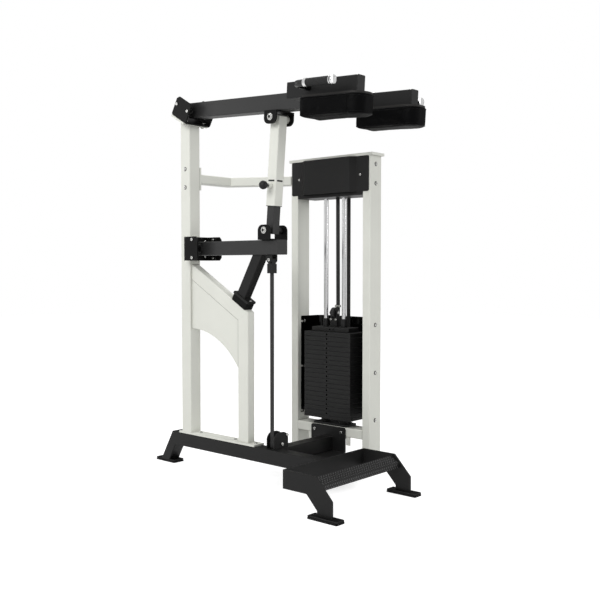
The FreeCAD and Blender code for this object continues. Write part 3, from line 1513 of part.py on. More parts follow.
housing_hub = housing_gap / 2 - hub_side
cheek_hub = cheek_gap / 2 - hub_side
nodes = {
    "main_beam": main_beam(),
    "cross_beam": cross_beam() + connecting_plate() + under_plate(),
    "foot_plates": foot_plates(),
    "foot_rubbers": foot_rubbers(),
    "platform_frame": platform_frame(),
    "platform_tread": platform_tread(),
    "frame_plates": frame_plates(),
    "rear_post": rear_post(),
    "front_upright": front_upright(),
    "slanted_brace": slanted_brace(),
    "gusset_panel": gusset_panel(),
    "pivot_brackets": pivot_brackets(),
    "pivot_bearings": pivot_bearings(),
    "pivot_bolts": pivot_bolts(),
    "lower_lever": lower_lever(),
    "lever_strut": lever_strut(),
    "stop_block": stop_block(),
    "lower_shackle": lower_shackle(),
    "belt_lugs": belt_lugs(),
    "lever_pins": lever_pins(),
    "link_inner_tube": link_inner_tube(),
    "link_outer_tube": link_outer_tube(),
    "link_liner": link_liner(),
    "pop_pin": pop_pin(),
    "upper_shaft": upper_shaft(),
    "upper_lever": upper_lever(),
    "upper_shackle": upper_shackle(),
    "upper_pins": upper_pins(),
    "shoulder_arms": shoulder_arms(),
    "arm_caps": arm_caps(),
    "pad_boards": pad_boards(),
    "shoulder_pads": shoulder_pads(),
    "handle_rods": handle_rods(),
    "handle_grips": handle_grips(),
    "handle_caps": handle_caps(),
    "front_pulley": pulley(front_pulley, front_pulley_r, housing_hub),
    "rear_pulley": pulley(rear_pulley, rear_pulley_r, cheek_hub),
    "top_pulley": pulley(top_pulley, top_pulley_r, cheek_hub),
    "belt_run": belt_run(),
    "lever_strand": lever_strand(),
    "stack_strand": stack_strand(),
    "belt_loop": belt_loop(),
    "head_bolts": head_bolts(),
    "clamp_block": clamp_block(),
    "pulley_housing": pulley_housing(),
    "rear_pulley_bracket": rear_pulley_bracket(),
    "tower_uprights": tower_uprights(),
    "tower_top_plate": tower_top_plate(),
    "tower_cross_member": tower_cross_member(),
    "pulley_carrier": pulley_carrier(),
    "tower_cover": tower_cover(),
    "rear_shroud": rear_shroud(),
    "tie_bar": tie_bar(),
    "guide_rods": guide_rods(),
    "weight_plates": weight_plates(),
    "stack_base": stack_base(),
    "head_plate": head_plate(),
    "head_sleeves": head_sleeves(),
    "head_clevis": head_clevis(),
    "frame_bolts": frame_bolts(),
}
whole = Part.makeCompound([shape for shapes in nodes.values() for shape in shapes]).optimalBoundingBox()
shift = V(-(whole.XMin + whole.XMax) / 2, -(whole.YMin + whole.YMax) / 2, -whole.ZMin)
os.makedirs("parts", exist_ok=True)
for name, shapes in nodes.items():
    piece = Part.makeCompound(shapes)
    piece.translate(shift)
    piece.exportStep("parts/" + name + ".step")
print(len(nodes), "pieces,", "origin moved by", shift)
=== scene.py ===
import math

import bmesh
import bpy
from mathutils import Matrix, Vector
from mathutils.bvhtree import BVHTree


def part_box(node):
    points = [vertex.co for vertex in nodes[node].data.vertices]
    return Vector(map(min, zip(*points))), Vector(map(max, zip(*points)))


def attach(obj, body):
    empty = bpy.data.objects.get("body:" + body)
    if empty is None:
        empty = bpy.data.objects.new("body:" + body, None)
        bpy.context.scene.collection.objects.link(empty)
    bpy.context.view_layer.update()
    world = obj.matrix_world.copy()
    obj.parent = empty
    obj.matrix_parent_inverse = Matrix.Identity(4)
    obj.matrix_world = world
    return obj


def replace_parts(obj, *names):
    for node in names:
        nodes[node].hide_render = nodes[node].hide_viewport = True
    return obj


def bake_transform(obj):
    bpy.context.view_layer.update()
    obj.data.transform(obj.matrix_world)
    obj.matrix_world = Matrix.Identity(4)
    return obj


# Standing calf raise machine: materials, belt strands, handles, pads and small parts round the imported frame.
# Places on the machine are typed in its own millimetres, with the lever plane at X = 0 and the belt plane at
# Y = 0, and come into the row frame through at(). Radii, profiles and other small sizes of the made pieces
# are in metres, unless a comment says millimetres.

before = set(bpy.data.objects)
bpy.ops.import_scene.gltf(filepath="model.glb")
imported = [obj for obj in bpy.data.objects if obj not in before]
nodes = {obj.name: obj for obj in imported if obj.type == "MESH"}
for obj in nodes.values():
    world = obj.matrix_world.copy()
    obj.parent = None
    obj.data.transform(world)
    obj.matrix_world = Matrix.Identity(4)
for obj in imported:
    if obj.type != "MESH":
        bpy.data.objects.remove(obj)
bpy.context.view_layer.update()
scene = bpy.context.scene

SHIFT = Vector((-0.14325, -0.060537, 0.0))
UPPER_PIVOT = Vector((0.0, 588.0, 1983.684))
UPPER_TILT = math.radians(3.27)
X_WAY = Vector((1.0, 0.0, 0.0))
Y_WAY = Vector((0.0, 1.0, 0.0))
Z_WAY = Vector((0.0, 0.0, 1.0))


def at(x, y, z):
    """Machine millimetres to metres in the row frame."""
    return Vector((x, y, z)) / 1000 + SHIFT


def upper(x, s, h):
    """Point of the upper lever at rest: s forward from its pivot, h above the pivot line."""
    y = UPPER_PIVOT.y - s * math.cos(UPPER_TILT) - h * math.sin(UPPER_TILT)
    z = UPPER_PIVOT.z - s * math.sin(UPPER_TILT) + h * math.cos(UPPER_TILT)
    return at(x, y, z)


def add_object(name, data):
    """New object in the scene."""
    made = bpy.data.objects.new(name, data)
    scene.collection.objects.link(made)
    return made


# Camera: fitted to edges of the frame in the photograph

camera = add_object("camera", bpy.data.cameras.new("camera"))
camera.data.lens = 50.56
camera.data.sensor_width = 36.0
camera.data.clip_start = 0.05
camera.data.clip_end = 100.0
camera.location = at(-3114.0, -2965.7, 1121.4)
camera.rotation_euler = (math.radians(87.7), 0.0, math.radians(-48.3))
scene.camera = camera


# Materials

class Tree:
    """Small helper that adds, sets and links shader nodes."""

    def __init__(self, owner):
        owner.use_nodes = True
        self.tree = owner.node_tree
        self.tree.nodes.clear()

    def add(self, kind, **values):
        node = self.tree.nodes.new(kind)
        for name, value in values.items():
            setattr(node, name, value)
        return node

    def link(self, source, target):
        self.tree.links.new(source, target)

    def feed(self, target, value):
        """Gives a socket a number, a colour or another node's output."""
        if isinstance(value, (int, float)):
            target.default_value = value
        elif isinstance(value, tuple):
            target.default_value = (*value, 1.0)
        else:
            self.link(value, target)

    def noise(self, where, scale, detail):
        node = self.add("ShaderNodeTexNoise")
        node.inputs["Scale"].default_value = scale
        node.inputs["Detail"].default_value = detail
        node.inputs["Roughness"].default_value = 0.5
        self.link(where, node.inputs["Vector"])
        return node.outputs["Fac"]

    def spread(self, value, low, high, first=0.3, last=0.7):
        """Maps a value from first..last to low..high."""
        node = self.add("ShaderNodeMapRange")
        node.inputs["From Min"].default_value = first
        node.inputs["From Max"].default_value = last
        node.inputs["To Min"].default_value = low
        node.inputs["To Max"].default_value = high
        self.link(value, node.inputs["Value"])
        return node.outputs["Result"]

    def math(self, operation, a, b):
        node = self.add("ShaderNodeMath", operation=operation)
        self.feed(node.inputs[0], a)
        self.feed(node.inputs[1], b)
        return node.outputs[0]

    def mix(self, share, a, b):
        """Colour between a and b; the Mix node's colour sockets are its inputs 6 and 7 and its output 2."""
        node = self.add("ShaderNodeMix", data_type="RGBA")
        self.feed(node.inputs[0], share)
        self.feed(node.inputs[6], a)
        self.feed(node.inputs[7], b)
        return node.outputs[2]

    def bevel(self, radius):
        node = self.add("ShaderNodeBevel", samples=4)
        node.inputs["Radius"].default_value = radius
        return node.outputs[0]

    def relief(self, height, depth):
        """Bump node, depth in metres."""
        node = self.add("ShaderNodeBump")
        node.inputs["Strength"].default_value = 1.0
        node.inputs["Distance"].default_value = depth
        self.link(height, node.inputs["Height"])
        return node


def grey(value):
    return (value, value, value)


def tinted(colour, share):
    return tuple(min(1.0, c * share) for c in colour)


def new_surface(name):
    """Material with its tree, its shader and the object's own coordinates."""
    made = bpy.data.materials.new(name)
    t = Tree(made)
    out = t.add("ShaderNodeOutputMaterial")
    shader = t.add("ShaderNodeBsdfPrincipled")
    t.link(shader.outputs[0], out.inputs["Surface"])
    return made, t, shader, t.add("ShaderNodeTexCoord").outputs["Object"]


CLOUD_SCALE = 5.0
SPECK_SCALE = 260.0
WEAR_SCALE = 60.0
WEAR_RADIUS = 0.003
SOFT_RADIUS = 0.0012


def material(name, colour, rough, metal=0.0, vary=0.08, specks=None, grain=900.0, bump=0.02, edge=None,
             specular=0.5, streak=None, rough_vary=0.06, cells=False, painted_shade=None, soften=True):
    """Procedural material with a cloudy colour, uneven gloss and a fine grain.

    grain is the scale of the fine relief and bump its depth in millimetres. specks and edge are the colours
    of specks and worn edges. The painted shade is given as a reach and a colour, and darkens corners, crevices
    and contacts where ambient occlusion finds them. streak stretches the grain, cells adds a pattern of cells
    to it, and soften rounds the edges in the shading.
    """
    made, t, shader, where = new_surface(name)
    fine_where = where
    if streak:
        stretch = t.add("ShaderNodeMapping")
        stretch.inputs["Scale"].default_value = streak
        t.link(where, stretch.inputs["Vector"])
        fine_where = stretch.outputs["Vector"]
    clouds = t.noise(where, CLOUD_SCALE, 4.0)
    tone = t.mix(t.spread(clouds, 0.0, 1.0), tinted(colour, 1 - vary), tinted(colour, 1 + vary))
    fine = t.noise(fine_where, grain, 2.0)
    if specks:
        spots = t.noise(where, SPECK_SCALE, 2.0)
        tone = t.mix(t.spread(spots, 0.0, 1.0, first=0.60, last=0.72), tone, specks)
    if edge:
        dot = t.add("ShaderNodeVectorMath", operation="DOT_PRODUCT")
        t.link(t.bevel(WEAR_RADIUS), dot.inputs[0])
        t.link(t.add("ShaderNodeNewGeometry").outputs["Normal"], dot.inputs[1])
        worn = t.spread(dot.outputs["Value"], 1.0, 0.0, first=0.86, last=0.995)
        worn = t.math("MULTIPLY", worn, t.spread(t.noise(where, WEAR_SCALE, 3.0), 0.15, 0.8))
        tone = t.mix(worn, tone, edge)
    # Painted shade: ambient occlusion darkens corners, crevices and contacts towards the given colour
    if painted_shade:
        reach, shade_colour = painted_shade
        shade = t.add("ShaderNodeAmbientOcclusion", samples=6)
        shade.inputs["Distance"].default_value = reach
        tone = t.mix(t.spread(shade.outputs["AO"], 0.0, 1.0, first=0.35, last=0.8), shade_colour, tone)
    t.link(tone, shader.inputs["Base Color"])
    t.link(t.spread(clouds, rough - rough_vary, rough + rough_vary), shader.inputs["Roughness"])
    shader.inputs["Metallic"].default_value = metal
    shader.inputs["Specular IOR Level"].default_value = specular
    height = fine
    if cells:
        cell = t.add("ShaderNodeTexVoronoi", feature="DISTANCE_TO_EDGE")
        cell.inputs["Scale"].default_value = grain
        t.link(where, cell.inputs["Vector"])
        mounds = t.spread(cell.outputs["Distance"], 0.0, 1.0, first=0.0, last=0.12)
        height = t.math("ADD", mounds, t.math("MULTIPLY", fine, 0.3))
    relief = t.relief(height, bump / 1000)
    if soften:
        t.link(t.bevel(SOFT_RADIUS), relief.inputs["Normal"])
    t.link(relief.outputs[0], shader.inputs["Normal"])
    return made


def belt_material():
    """Ribbed black belt: fine bands and a woven grain."""
    made, t, shader, where = new_surface("belt")
    ribs = t.add("ShaderNodeTexWave", wave_type="BANDS", bands_direction="Y", wave_profile="SIN")
    ribs.inputs["Scale"].default_value = 130.0
    ribs.inputs["Distortion"].default_value = 0.0
    t.link(where, ribs.inputs["Vector"])
    rib = ribs.outputs["Fac"]
    weave = t.noise(where, 1500.0, 2.0)
    clouds = t.noise(where, 14.0, 3.0)
    tone = t.mix(t.spread(clouds, 0.0, 1.0), grey(0.008), grey(0.017))
    t.link(t.mix(t.math("MULTIPLY", rib, 0.35), tone, grey(0.03)), shader.inputs["Base Color"])
    t.link(t.spread(weave, 0.5, 0.68), shader.inputs["Roughness"])
    shader.inputs["Specular IOR Level"].default_value = 0.35
    relief = t.relief(t.math("ADD", rib, t.math("MULTIPLY", weave, 0.4)), 0.00025)
    t.link(relief.outputs[0], shader.inputs["Normal"])
    return made


WHITE = (0.785, 0.793, 0.73)
WORN_WHITE = (0.70, 0.71, 0.66)
# Colour of the shade painted into the white frame's corners, contacts and recessed panel
WHITE_PAINTED_SHADE = (0.52, 0.52, 0.48)

white_paint = material("white_paint", WHITE, 0.42, vary=0.02, grain=1400.0, bump=0.03, edge=WORN_WHITE,
                       specular=0.4, painted_shade=(0.05, WHITE_PAINTED_SHADE))
lever_paint = material("lever_paint", grey(0.0185), 0.44, vary=0.12, grain=1600.0, bump=0.05,
                       edge=grey(0.06), specular=0.36)
bracket_paint = material("bracket_paint", grey(0.0035), 0.42, vary=0.14, grain=1600.0, bump=0.05,
                         edge=grey(0.03), specular=0.1)
foot_paint = material("foot_paint", grey(0.004), 0.5, specks=grey(0.03), vary=0.2, grain=500.0,
                      bump=0.12, edge=grey(0.03), specular=0.1)
frame_paint = material("frame_paint", (0.0092, 0.0092, 0.0091), 0.44, vary=0.14, grain=1600.0, bump=0.05,
                       edge=grey(0.045), specular=0.2)
tread_paint = material("tread_paint", grey(0.03), 0.42, vary=0.4, grain=900.0, bump=0.1,
                       edge=grey(0.12), specular=0.5)
cast_black = material("cast_black", grey(0.0105), 0.5, vary=0.15, grain=700.0, bump=0.08,
                      edge=grey(0.04), specular=0.25)
gloss_black = material("gloss_black", (0.0015, 0.0015, 0.0016), 0.12, vary=0.1, grain=60.0, bump=0.04,
                       specular=0.2, rough_vary=0.03)
# Painted shade darkens the chrome's grooves and the corners where it meets other parts
chrome = material("chrome", grey(0.74), 0.1, metal=1.0, vary=0.03, grain=500.0, bump=0.004,
                  rough_vary=0.03, painted_shade=(0.012, grey(0.02)), soften=False)
rod_steel = material("rod_steel", (0.70, 0.70, 0.71), 0.18, metal=1.0, vary=0.05, grain=300.0, bump=0.002,
                     streak=(1.0, 1.0, 0.05), rough_vary=0.04, soften=False)
# Painted shade darkens the bolts' sockets and the crevices round their heads
bolt_steel = material("bolt_steel", (0.60, 0.60, 0.58), 0.24, metal=1.0, vary=0.08, grain=800.0, bump=0.01,
                      painted_shade=(0.008, grey(0.02)))
rubber = material("rubber", grey(0.004), 0.7, vary=0.18, grain=900.0, bump=0.06,
                  edge=grey(0.02), specular=0.12)
rim_rubber = material("rim_rubber", grey(0.008), 0.6, specks=grey(0.09), vary=0.3, grain=500.0,
                      bump=0.15, edge=grey(0.05), specular=0.25)
grip_rubber = material("grip_rubber", grey(0.010), 0.62, vary=0.15, grain=1400.0, bump=0.08,
                       specular=0.35, cells=True)
plastic = material("plastic", grey(0.008), 0.4, vary=0.1, grain=1200.0, bump=0.03,
                   edge=grey(0.04), specular=0.25)
leather = material("leather", (0.0024, 0.0024, 0.0026), 0.42, vary=0.15, grain=620.0, bump=0.08,
                   specular=0.035, cells=True, rough_vary=0.05)
handle_paint = material("handle_paint", grey(0.006), 0.22, vary=0.1, grain=1400.0, bump=0.02,
                        edge=grey(0.04), specular=0.45)
thread = material("thread", grey(0.02), 0.7, vary=0.2, grain=3000.0, bump=0.05, specular=0.3)
board = material("board", (0.013, 0.012, 0.011), 0.6, vary=0.2, grain=300.0, bump=0.08,
                 streak=(1.0, 0.08, 1.0), specular=0.3)
belt = belt_material()

looks = {
    white_paint: ["frame_plates", "rear_post", "front_upright", "slanted_brace", "gusset_panel", "tie_bar",
                  "tower_uprights", "tower_top_plate", "tower_cross_member", "link_outer_tube"],
    lever_paint: ["lower_lever", "upper_lever", "link_inner_tube"],
    frame_paint: ["main_beam", "cross_beam", "platform_frame", "platform_tread", "lever_strut",
                  "belt_lugs", "shoulder_arms", "pulley_housing", "rear_pulley_bracket",
                  "pulley_carrier", "tower_cover", "clamp_block", "head_clevis"],
    gloss_black: ["rear_shroud"],
    bracket_paint: ["pivot_brackets", "pivot_bearings", "lower_shackle", "upper_shackle"],
    foot_paint: ["foot_plates"],
    cast_black: ["weight_plates", "head_plate", "stack_base"],
    bolt_steel: ["pivot_bolts", "lever_pins", "upper_pins", "frame_bolts", "head_bolts", "upper_shaft"],
    rod_steel: ["guide_rods"],
    rubber: ["foot_rubbers", "stop_block"],
    plastic: ["head_sleeves", "front_pulley", "rear_pulley", "top_pulley", "arm_caps", "link_liner",
              "pop_pin"],
    board: ["pad_boards"],
    belt: ["belt_run", "lever_strand", "stack_strand", "belt_loop"],
}
for look, names in looks.items():
    for name in names:
        for slot in nodes[name].material_slots:
            slot.link = "OBJECT"
            slot.material = look


# Mesh tools

# How deep a tab or lozenge that stands on a face starts inside it
SUNK = 0.0003
# Points nearer to one another than this become one
MERGE = 1e-6


def to_mesh(name, work):
    """Mesh of a bmesh, which is freed."""
    mesh = bpy.data.meshes.new(name)
    bmesh.ops.recalc_face_normals(work, faces=work.faces)
    work.to_mesh(mesh)
    work.free()
    return mesh


def put(name, mesh, look, body, smooth=None):
    """Object of a finished mesh, in its material and riding on its body, if it has one.

    smooth is the angle in degrees above which an edge stays sharp; without it none does.
    """
    for polygon in mesh.polygons:
        polygon.use_smooth = True
    if smooth is not None:
        mesh.set_sharp_from_angle(angle=math.radians(smooth))
    made = add_object(name, mesh)
    mesh.materials.append(look)
    if body:
        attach(made, body)
    return made


def piece(name, work, look, body, smooth):
    """The same from a bmesh."""
    return put(name, to_mesh(name, work), look, body, smooth)


def loft(work, rings, close_ends=True):
    """Skin over rings of the same number of points."""
    levels = [[work.verts.new(p) for p in points] for points in rings]
    count = len(levels[0])
    for low, high in zip(levels, levels[1:]):
        for i in range(count):
            work.faces.new((low[i], low[(i + 1) % count], high[(i + 1) % count], high[i]))
    if close_ends:
        work.faces.new(levels[0][::-1])
        work.faces.new(levels[-1])


def ring_points(centre, side, up, r, count):
    """Points of a circle in the plane of side and up."""
    turns = [2 * math.pi * i / count for i in range(count)]
    return [centre + side * (r * math.cos(a)) + up * (r * math.sin(a)) for a in turns]


def circle(centre, way, r, count):
    """Points of a circle round way, with a steady start direction."""
    way = way.normalized()
    side = way.cross(Z_WAY)
    side = X_WAY if side.length < 0.1 else side.normalized()
    return ring_points(centre, side, side.cross(way), r, count)


def lathe(work, base, way, profile, count):
    """Solid of revolution: profile holds (radius, height) pairs from its bottom to its top."""
    way = way.normalized()
    loft(work, [circle(base + way * h, way, max(r, 1e-5), count) for r, h in profile])


def sweep(work, points, r, count, closed=False):
    """Round bar along points."""
    total = len(points)
    ways = []
    for i, p in enumerate(points):
        before = points[i - 1] if closed or i > 0 else p
        after = points[(i + 1) % total] if closed or i < total - 1 else p
        ways.append((after - before).normalized())
    side = ways[0].orthogonal().normalized()
    loops = []
    for p, way in zip(points, ways):
        side = (side - way * side.dot(way)).normalized()
        loops.append(ring_points(p, side, way.cross(side), r, count))
    if closed:
        loops.append(loops[0])
        loft(work, loops, False)
        bmesh.ops.remove_doubles(work, verts=work.verts, dist=MERGE)
    else:
        loft(work, loops)


# Belt: the two free strands, which stretch between the frame and what they pull

STRAND_CUTS = 60


def strand(node, name, pulled_up):
    """The node's strand, cut across into short lengths, which takes the node's place."""
    low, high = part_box(node)
    work = bmesh.new()
    work.from_mesh(nodes[node].data)
    bmesh.ops.remove_doubles(work, verts=work.verts, dist=MERGE)
    for i in range(1, STRAND_CUTS):
        cut = low.lerp(high, i / STRAND_CUTS)
        everything = work.verts[:] + work.edges[:] + work.faces[:]
        bmesh.ops.bisect_plane(work, geom=everything, plane_co=cut, plane_no=Z_WAY)
    made = piece(name, work, belt, None, 40)
    if pulled_up:
        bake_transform(made)
    else:
        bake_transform(made)
    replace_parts(made, node)


strand("lever_strand", "lever_belt", True)
strand("stack_strand", "stack_belt", False)


# Handles: bent rods, ribbed grips, chrome rings and end caps

# Places on the upper lever and lengths in millimetres
HANDLE_ROOT = 230.0
HANDLE_X = 333.0
HANDLE_S = 1038.0
HANDLE_BEND = 40.0
BEND_STEPS = 12
GRIP_START = 1119.0
GRIP_END = 1250.0
RING_LONG = 16.0
KNOB_LONG = 22.0

ROD_R = 0.015
GRIP_R = 0.018
RING_R = 0.019
KNOB_R = 0.0205
ROUND = 0.0012

GRIP_ROUND = 0.001
GRIP_FLANGE = 0.006
RIB_START = 0.007
RIB_COUNT = 22
# How far the grooves and the ribs' crowns lie under the grip's radius
RIB_LOW = 0.0009
RIB_HIGH = 0.0001

# Heights at which a groove starts, reaches its floor, leaves it and ends
RING_GROOVE = (0.005, 0.006, 0.0075, 0.0085)
NECK_GROOVE = (0.006, 0.0065, 0.0095, 0.010)
NECK_DEPTH = 0.005
CAP_BEVEL = 0.004
FACE_R = 0.012
FACE_ROUND = 0.001
FACE_DEPTH = 0.0008

forward = (upper(0, 1.0, 0) - upper(0, 0.0, 0)).normalized()


def handle_path(side):
    """Middle line of a handle's rod, from the arm round the bend to the end cap."""
    centre_x = HANDLE_X - HANDLE_BEND
    centre_s = HANDLE_S + HANDLE_BEND
    points = [upper(side * HANDLE_ROOT, HANDLE_S, 0), upper(side * centre_x, HANDLE_S, 0)]
    for i in range(1, BEND_STEPS + 1):
        a = math.pi / 2 * i / BEND_STEPS
        x = centre_x + HANDLE_BEND * math.sin(a)
        points.append(upper(side * x, centre_s - HANDLE_BEND * math.cos(a), 0))
    points.append(upper(side * HANDLE_X, GRIP_END, 0))
    return points


def grip_profile():
    """Soft end flanges with shallow ribs between them."""
    long = (GRIP_END - GRIP_START) / 1000
    shoulder = GRIP_R - GRIP_ROUND
    groove = GRIP_R - RIB_LOW
    crown = GRIP_R - RIB_HIGH
    pitch = (long - 2 * RIB_START) / RIB_COUNT
    points = [(ROD_R, 0.0), (shoulder, 0.0), (GRIP_R, GRIP_ROUND), (GRIP_R, GRIP_FLANGE)]
    for i in range(RIB_COUNT):
        z = RIB_START + i * pitch
        points += [(groove, z), (groove, z + pitch * 0.3)]
        points += [(crown, z + pitch * 0.45), (crown, z + pitch * 0.85)]
    points += [(GRIP_R, long - GRIP_FLANGE), (GRIP_R, long - GRIP_ROUND), (shoulder, long), (ROD_R, long)]
    return points


def ring_profile():
    """Chrome ring with a groove round its middle."""
    long = RING_LONG / 1000
    inner = RING_R - ROUND
    start, floor, floor_end, end = RING_GROOVE
    return [(ROD_R, 0.0), (inner, 0.0), (RING_R, ROUND), (RING_R, start), (inner, floor), (inner, floor_end),
            (RING_R, end), (RING_R, long - ROUND), (inner, long), (ROD_R, long)]


def knob_profile():
    """Chrome end cap: a collar, a neck, and a head with a bevelled rim and a sunk face."""
    long = KNOB_LONG / 1000
    inner = KNOB_R - ROUND
    neck = KNOB_R - NECK_DEPTH
    start, floor, floor_end, end = NECK_GROOVE
    return [(ROD_R, 0.0), (inner, 0.0), (KNOB_R, ROUND), (KNOB_R, start), (neck, floor), (neck, floor_end),
            (KNOB_R, end), (KNOB_R, long - CAP_BEVEL), (inner, long - ROUND), (KNOB_R - CAP_BEVEL, long),
            (FACE_R, long), (FACE_R - FACE_ROUND, long - FACE_DEPTH), (0.0, long - FACE_DEPTH)]


rods = bmesh.new()
grips = bmesh.new()
caps = bmesh.new()
for side in (-1, 1):
    sweep(rods, handle_path(side), ROD_R, 32)
    lathe(grips, upper(side * HANDLE_X, GRIP_START, 0), forward, grip_profile(), 40)
    lathe(caps, upper(side * HANDLE_X, GRIP_START - RING_LONG, 0), forward, ring_profile(), 48)
    lathe(caps, upper(side * HANDLE_X, GRIP_END, 0), forward, knob_profile(), 48)
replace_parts(piece("handle_bars", rods, handle_paint, "upper_lever", 40), "handle_rods")
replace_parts(piece("handle_sleeves", grips, grip_rubber, "upper_lever", 40), "handle_grips")
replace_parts(piece("handle_ends", caps, chrome, "upper_lever", 35), "handle_caps")


# Shoulder pads: stuffed forms under the boards, with seams and stitches

# Places on the upper lever in millimetres
PAD_X = 205.0
PAD_HALF = 72.5
PAD_BACK = 1024.5
PAD_STRAIGHT = 1298.0
PAD_TOP = -48.6
PAD_LOW = -136.7
PAD_CORNER = 5.0
# Inset from the outline and height of each ring of the start form, from the board down
PAD_LEVELS = [(30.0, PAD_TOP), (5.0, PAD_TOP), (2.0, PAD_TOP - 2.5), (1.5, PAD_TOP - 25.0),
              (1.5, PAD_LOW + 20.0), (2.0, PAD_LOW + 5.5), (5.0, PAD_LOW + 3.0), (30.0, PAD_LOW + 2.0)]

PAD_VOXEL = 0.004
PIN_DEPTH = 0.006
CLOTH_FRAMES = 20
SWELL_MOST = 0.0035

# The seams' lines start outside the pad and are laid on it; these places are in millimetres
SEAM_OUT_LOW = 2.0
SEAM_OUT_TOP = 1.5
SEAM_UP = 5.0
SEAM_DOWN = 4.0
STITCH_AWAY = 6.0
SIDE_SEAM_OUT = 76.0
SIDE_SEAM_UP = 9.0
SIDE_SEAM_SHORT = 17.0
SIDE_SEAM_STEPS = 16

PIPING_R = 0.0016
SIDE_SEAM_R = 0.0012
STITCH_R = 0.00045
STITCH_PITCH = 0.0055
# Shares of the pitch at which a stitch starts and ends
STITCH_START = 0.14
STITCH_END = 0.8
# How high the middle lines lie over the pad
PIPING_LIFT = 0.0003
STITCH_LIFT = 0.0001
SIDE_SEAM_LIFT = 0.0002


def pad_ring(inset, nose=24):
    """Outline of a pad seen from above: square at the back with round corners, and a half round nose."""
    half = PAD_HALF - inset
    back = PAD_BACK + inset
    corner = PAD_CORNER
    steps = 9
    corner_steps = 4
    points = []
    for i in range(nose + 1):
        a = math.pi * i / nose
        points.append((PAD_X + half * math.cos(a), PAD_STRAIGHT + half * math.sin(a)))
    for i in range(1, steps + 1):
        points.append((PAD_X - half, PAD_STRAIGHT + (back + corner - PAD_STRAIGHT) * i / steps))
    for i in range(1, corner_steps + 1):
        a = math.pi / 2 / corner_steps * i
        points.append((PAD_X - half + corner * (1 - math.cos(a)), back + corner * (1 - math.sin(a))))
    for i in range(1, steps):
        points.append((PAD_X - half + corner + (2 * half - 2 * corner) * i / steps, back))
    for i in range(corner_steps, -1, -1):
        a = math.pi / 2 / corner_steps * i
        points.append((PAD_X + half - corner * (1 - math.cos(a)), back + corner * (1 - math.sin(a))))
    for i in range(1, steps):
        points.append((PAD_X + half, back + corner + (PAD_STRAIGHT - back - corner) * i / steps))
    return points


def shaped(thing):
    """New mesh of an object as its modifiers leave it."""
    bpy.context.view_layer.update()
    return bpy.data.meshes.new_from_object(thing.evaluated_get(bpy.context.evaluated_depsgraph_get()))


def pad_start():
    """One pad, lofted a little small and remeshed."""
    work = bmesh.new()
    loft(work, [[upper(x, s, h) for x, s in pad_ring(inset)] for inset, h in PAD_LEVELS])
    pad = add_object("pad_start", to_mesh("pad_start", work))
    remesh = pad.modifiers.new("remesh", "REMESH")
    remesh.mode = "VOXEL"
    remesh.voxel_size = PAD_VOXEL
    fixed = shaped(pad)
    pad.modifiers.clear()
    pad.data = fixed
    return pad


def swell(pad):
    """Swells a pad by cloth pressure, with its top held, and caps how far each point goes."""
    mesh = pad.data
    rest = [v.co.copy() for v in mesh.vertices]
    up = Vector((0.0, -math.sin(UPPER_TILT), math.cos(UPPER_TILT)))
    top = upper(PAD_X, PAD_BACK, PAD_TOP).dot(up)
    pins = pad.vertex_groups.new(name="pins")
    pins.add([v.index for v in mesh.vertices if v.co.dot(up) > top - PIN_DEPTH], 1.0, "REPLACE")
    cloth = pad.modifiers.new("cloth", "CLOTH")
    settings = cloth.settings
    settings.quality = 5
    settings.mass = 0.3
    settings.tension_stiffness = 25.0
    settings.compression_stiffness = 25.0
    settings.shear_stiffness = 10.0
    settings.bending_stiffness = 3.0
    settings.vertex_group_mass = "pins"
    settings.use_pressure = True
    settings.uniform_pressure_force = 4.0
    settings.effector_weights.gravity = 0.0
    cloth.point_cache.frame_start = 1
    cloth.point_cache.frame_end = CLOTH_FRAMES
    for number in range(1, CLOTH_FRAMES + 1):
        scene.frame_set(number)
    swollen = pad.evaluated_get(bpy.context.evaluated_depsgraph_get()).data
    moved = [v.co.copy() for v in swollen.vertices]
    pad.modifiers.clear()
    scene.frame_set(1)
    for vertex, was, now in zip(mesh.vertices, rest, moved):
        step = now - was
        if step.length > SWELL_MOST:
            step.length = SWELL_MOST
        vertex.co = was + step


def stuffed_pad():
    """One pad's finished mesh: swollen, smoothed and subdivided."""
    pad = pad_start()
    swell(pad)
    work = bmesh.new()
    work.from_mesh(pad.data)
    bmesh.ops.smooth_vert(work, verts=work.verts, factor=0.5,
                          use_axis_x=True, use_axis_y=True, use_axis_z=True)
    work.to_mesh(pad.data)
    work.free()
    finer = pad.modifiers.new("finer", "SUBSURF")
    finer.levels = 1
    finer.render_levels = 1
    done = shaped(pad)
    bpy.data.objects.remove(pad)
    return done


def on_side(mesh, word):
    """Copy of a mesh of the far side, mirrored in the lever plane for the near side."""
    copy = mesh.copy()
    if word == "near":
        copy.transform(Matrix.Translation((2 * SHIFT.x, 0, 0)) @ Matrix.Scale(-1, 4, X_WAY))
        copy.flip_normals()
    return copy


def on_surface(tree, points, lift):
    """Points moved to the nearest place of a surface, lifted along its normal."""
    made = []
    for p in points:
        place, normal, _, _ = tree.find_nearest(p)
        made.append(place + normal * lift)
    return made


def stitch(work, start, end):
    """Small stitch with pointed ends."""
    way = end - start
    shares = ((0.0, 0.15), (0.2, 0.9), (0.8, 0.9), (1.0, 0.15))
    loft(work, [circle(start + way * t, way, STITCH_R * share, 6) for t, share in shares])


def even(points, pitch):
    """Points at an even pitch round a closed line."""
    line = points + points[:1]
    made = []
    left = 0.0
    for a, b in zip(line, line[1:]):
        long = (b - a).length
        while left <= long:
            made.append(a + (b - a) * (left / long if long else 0))
            left += pitch
        left -= long
    return made


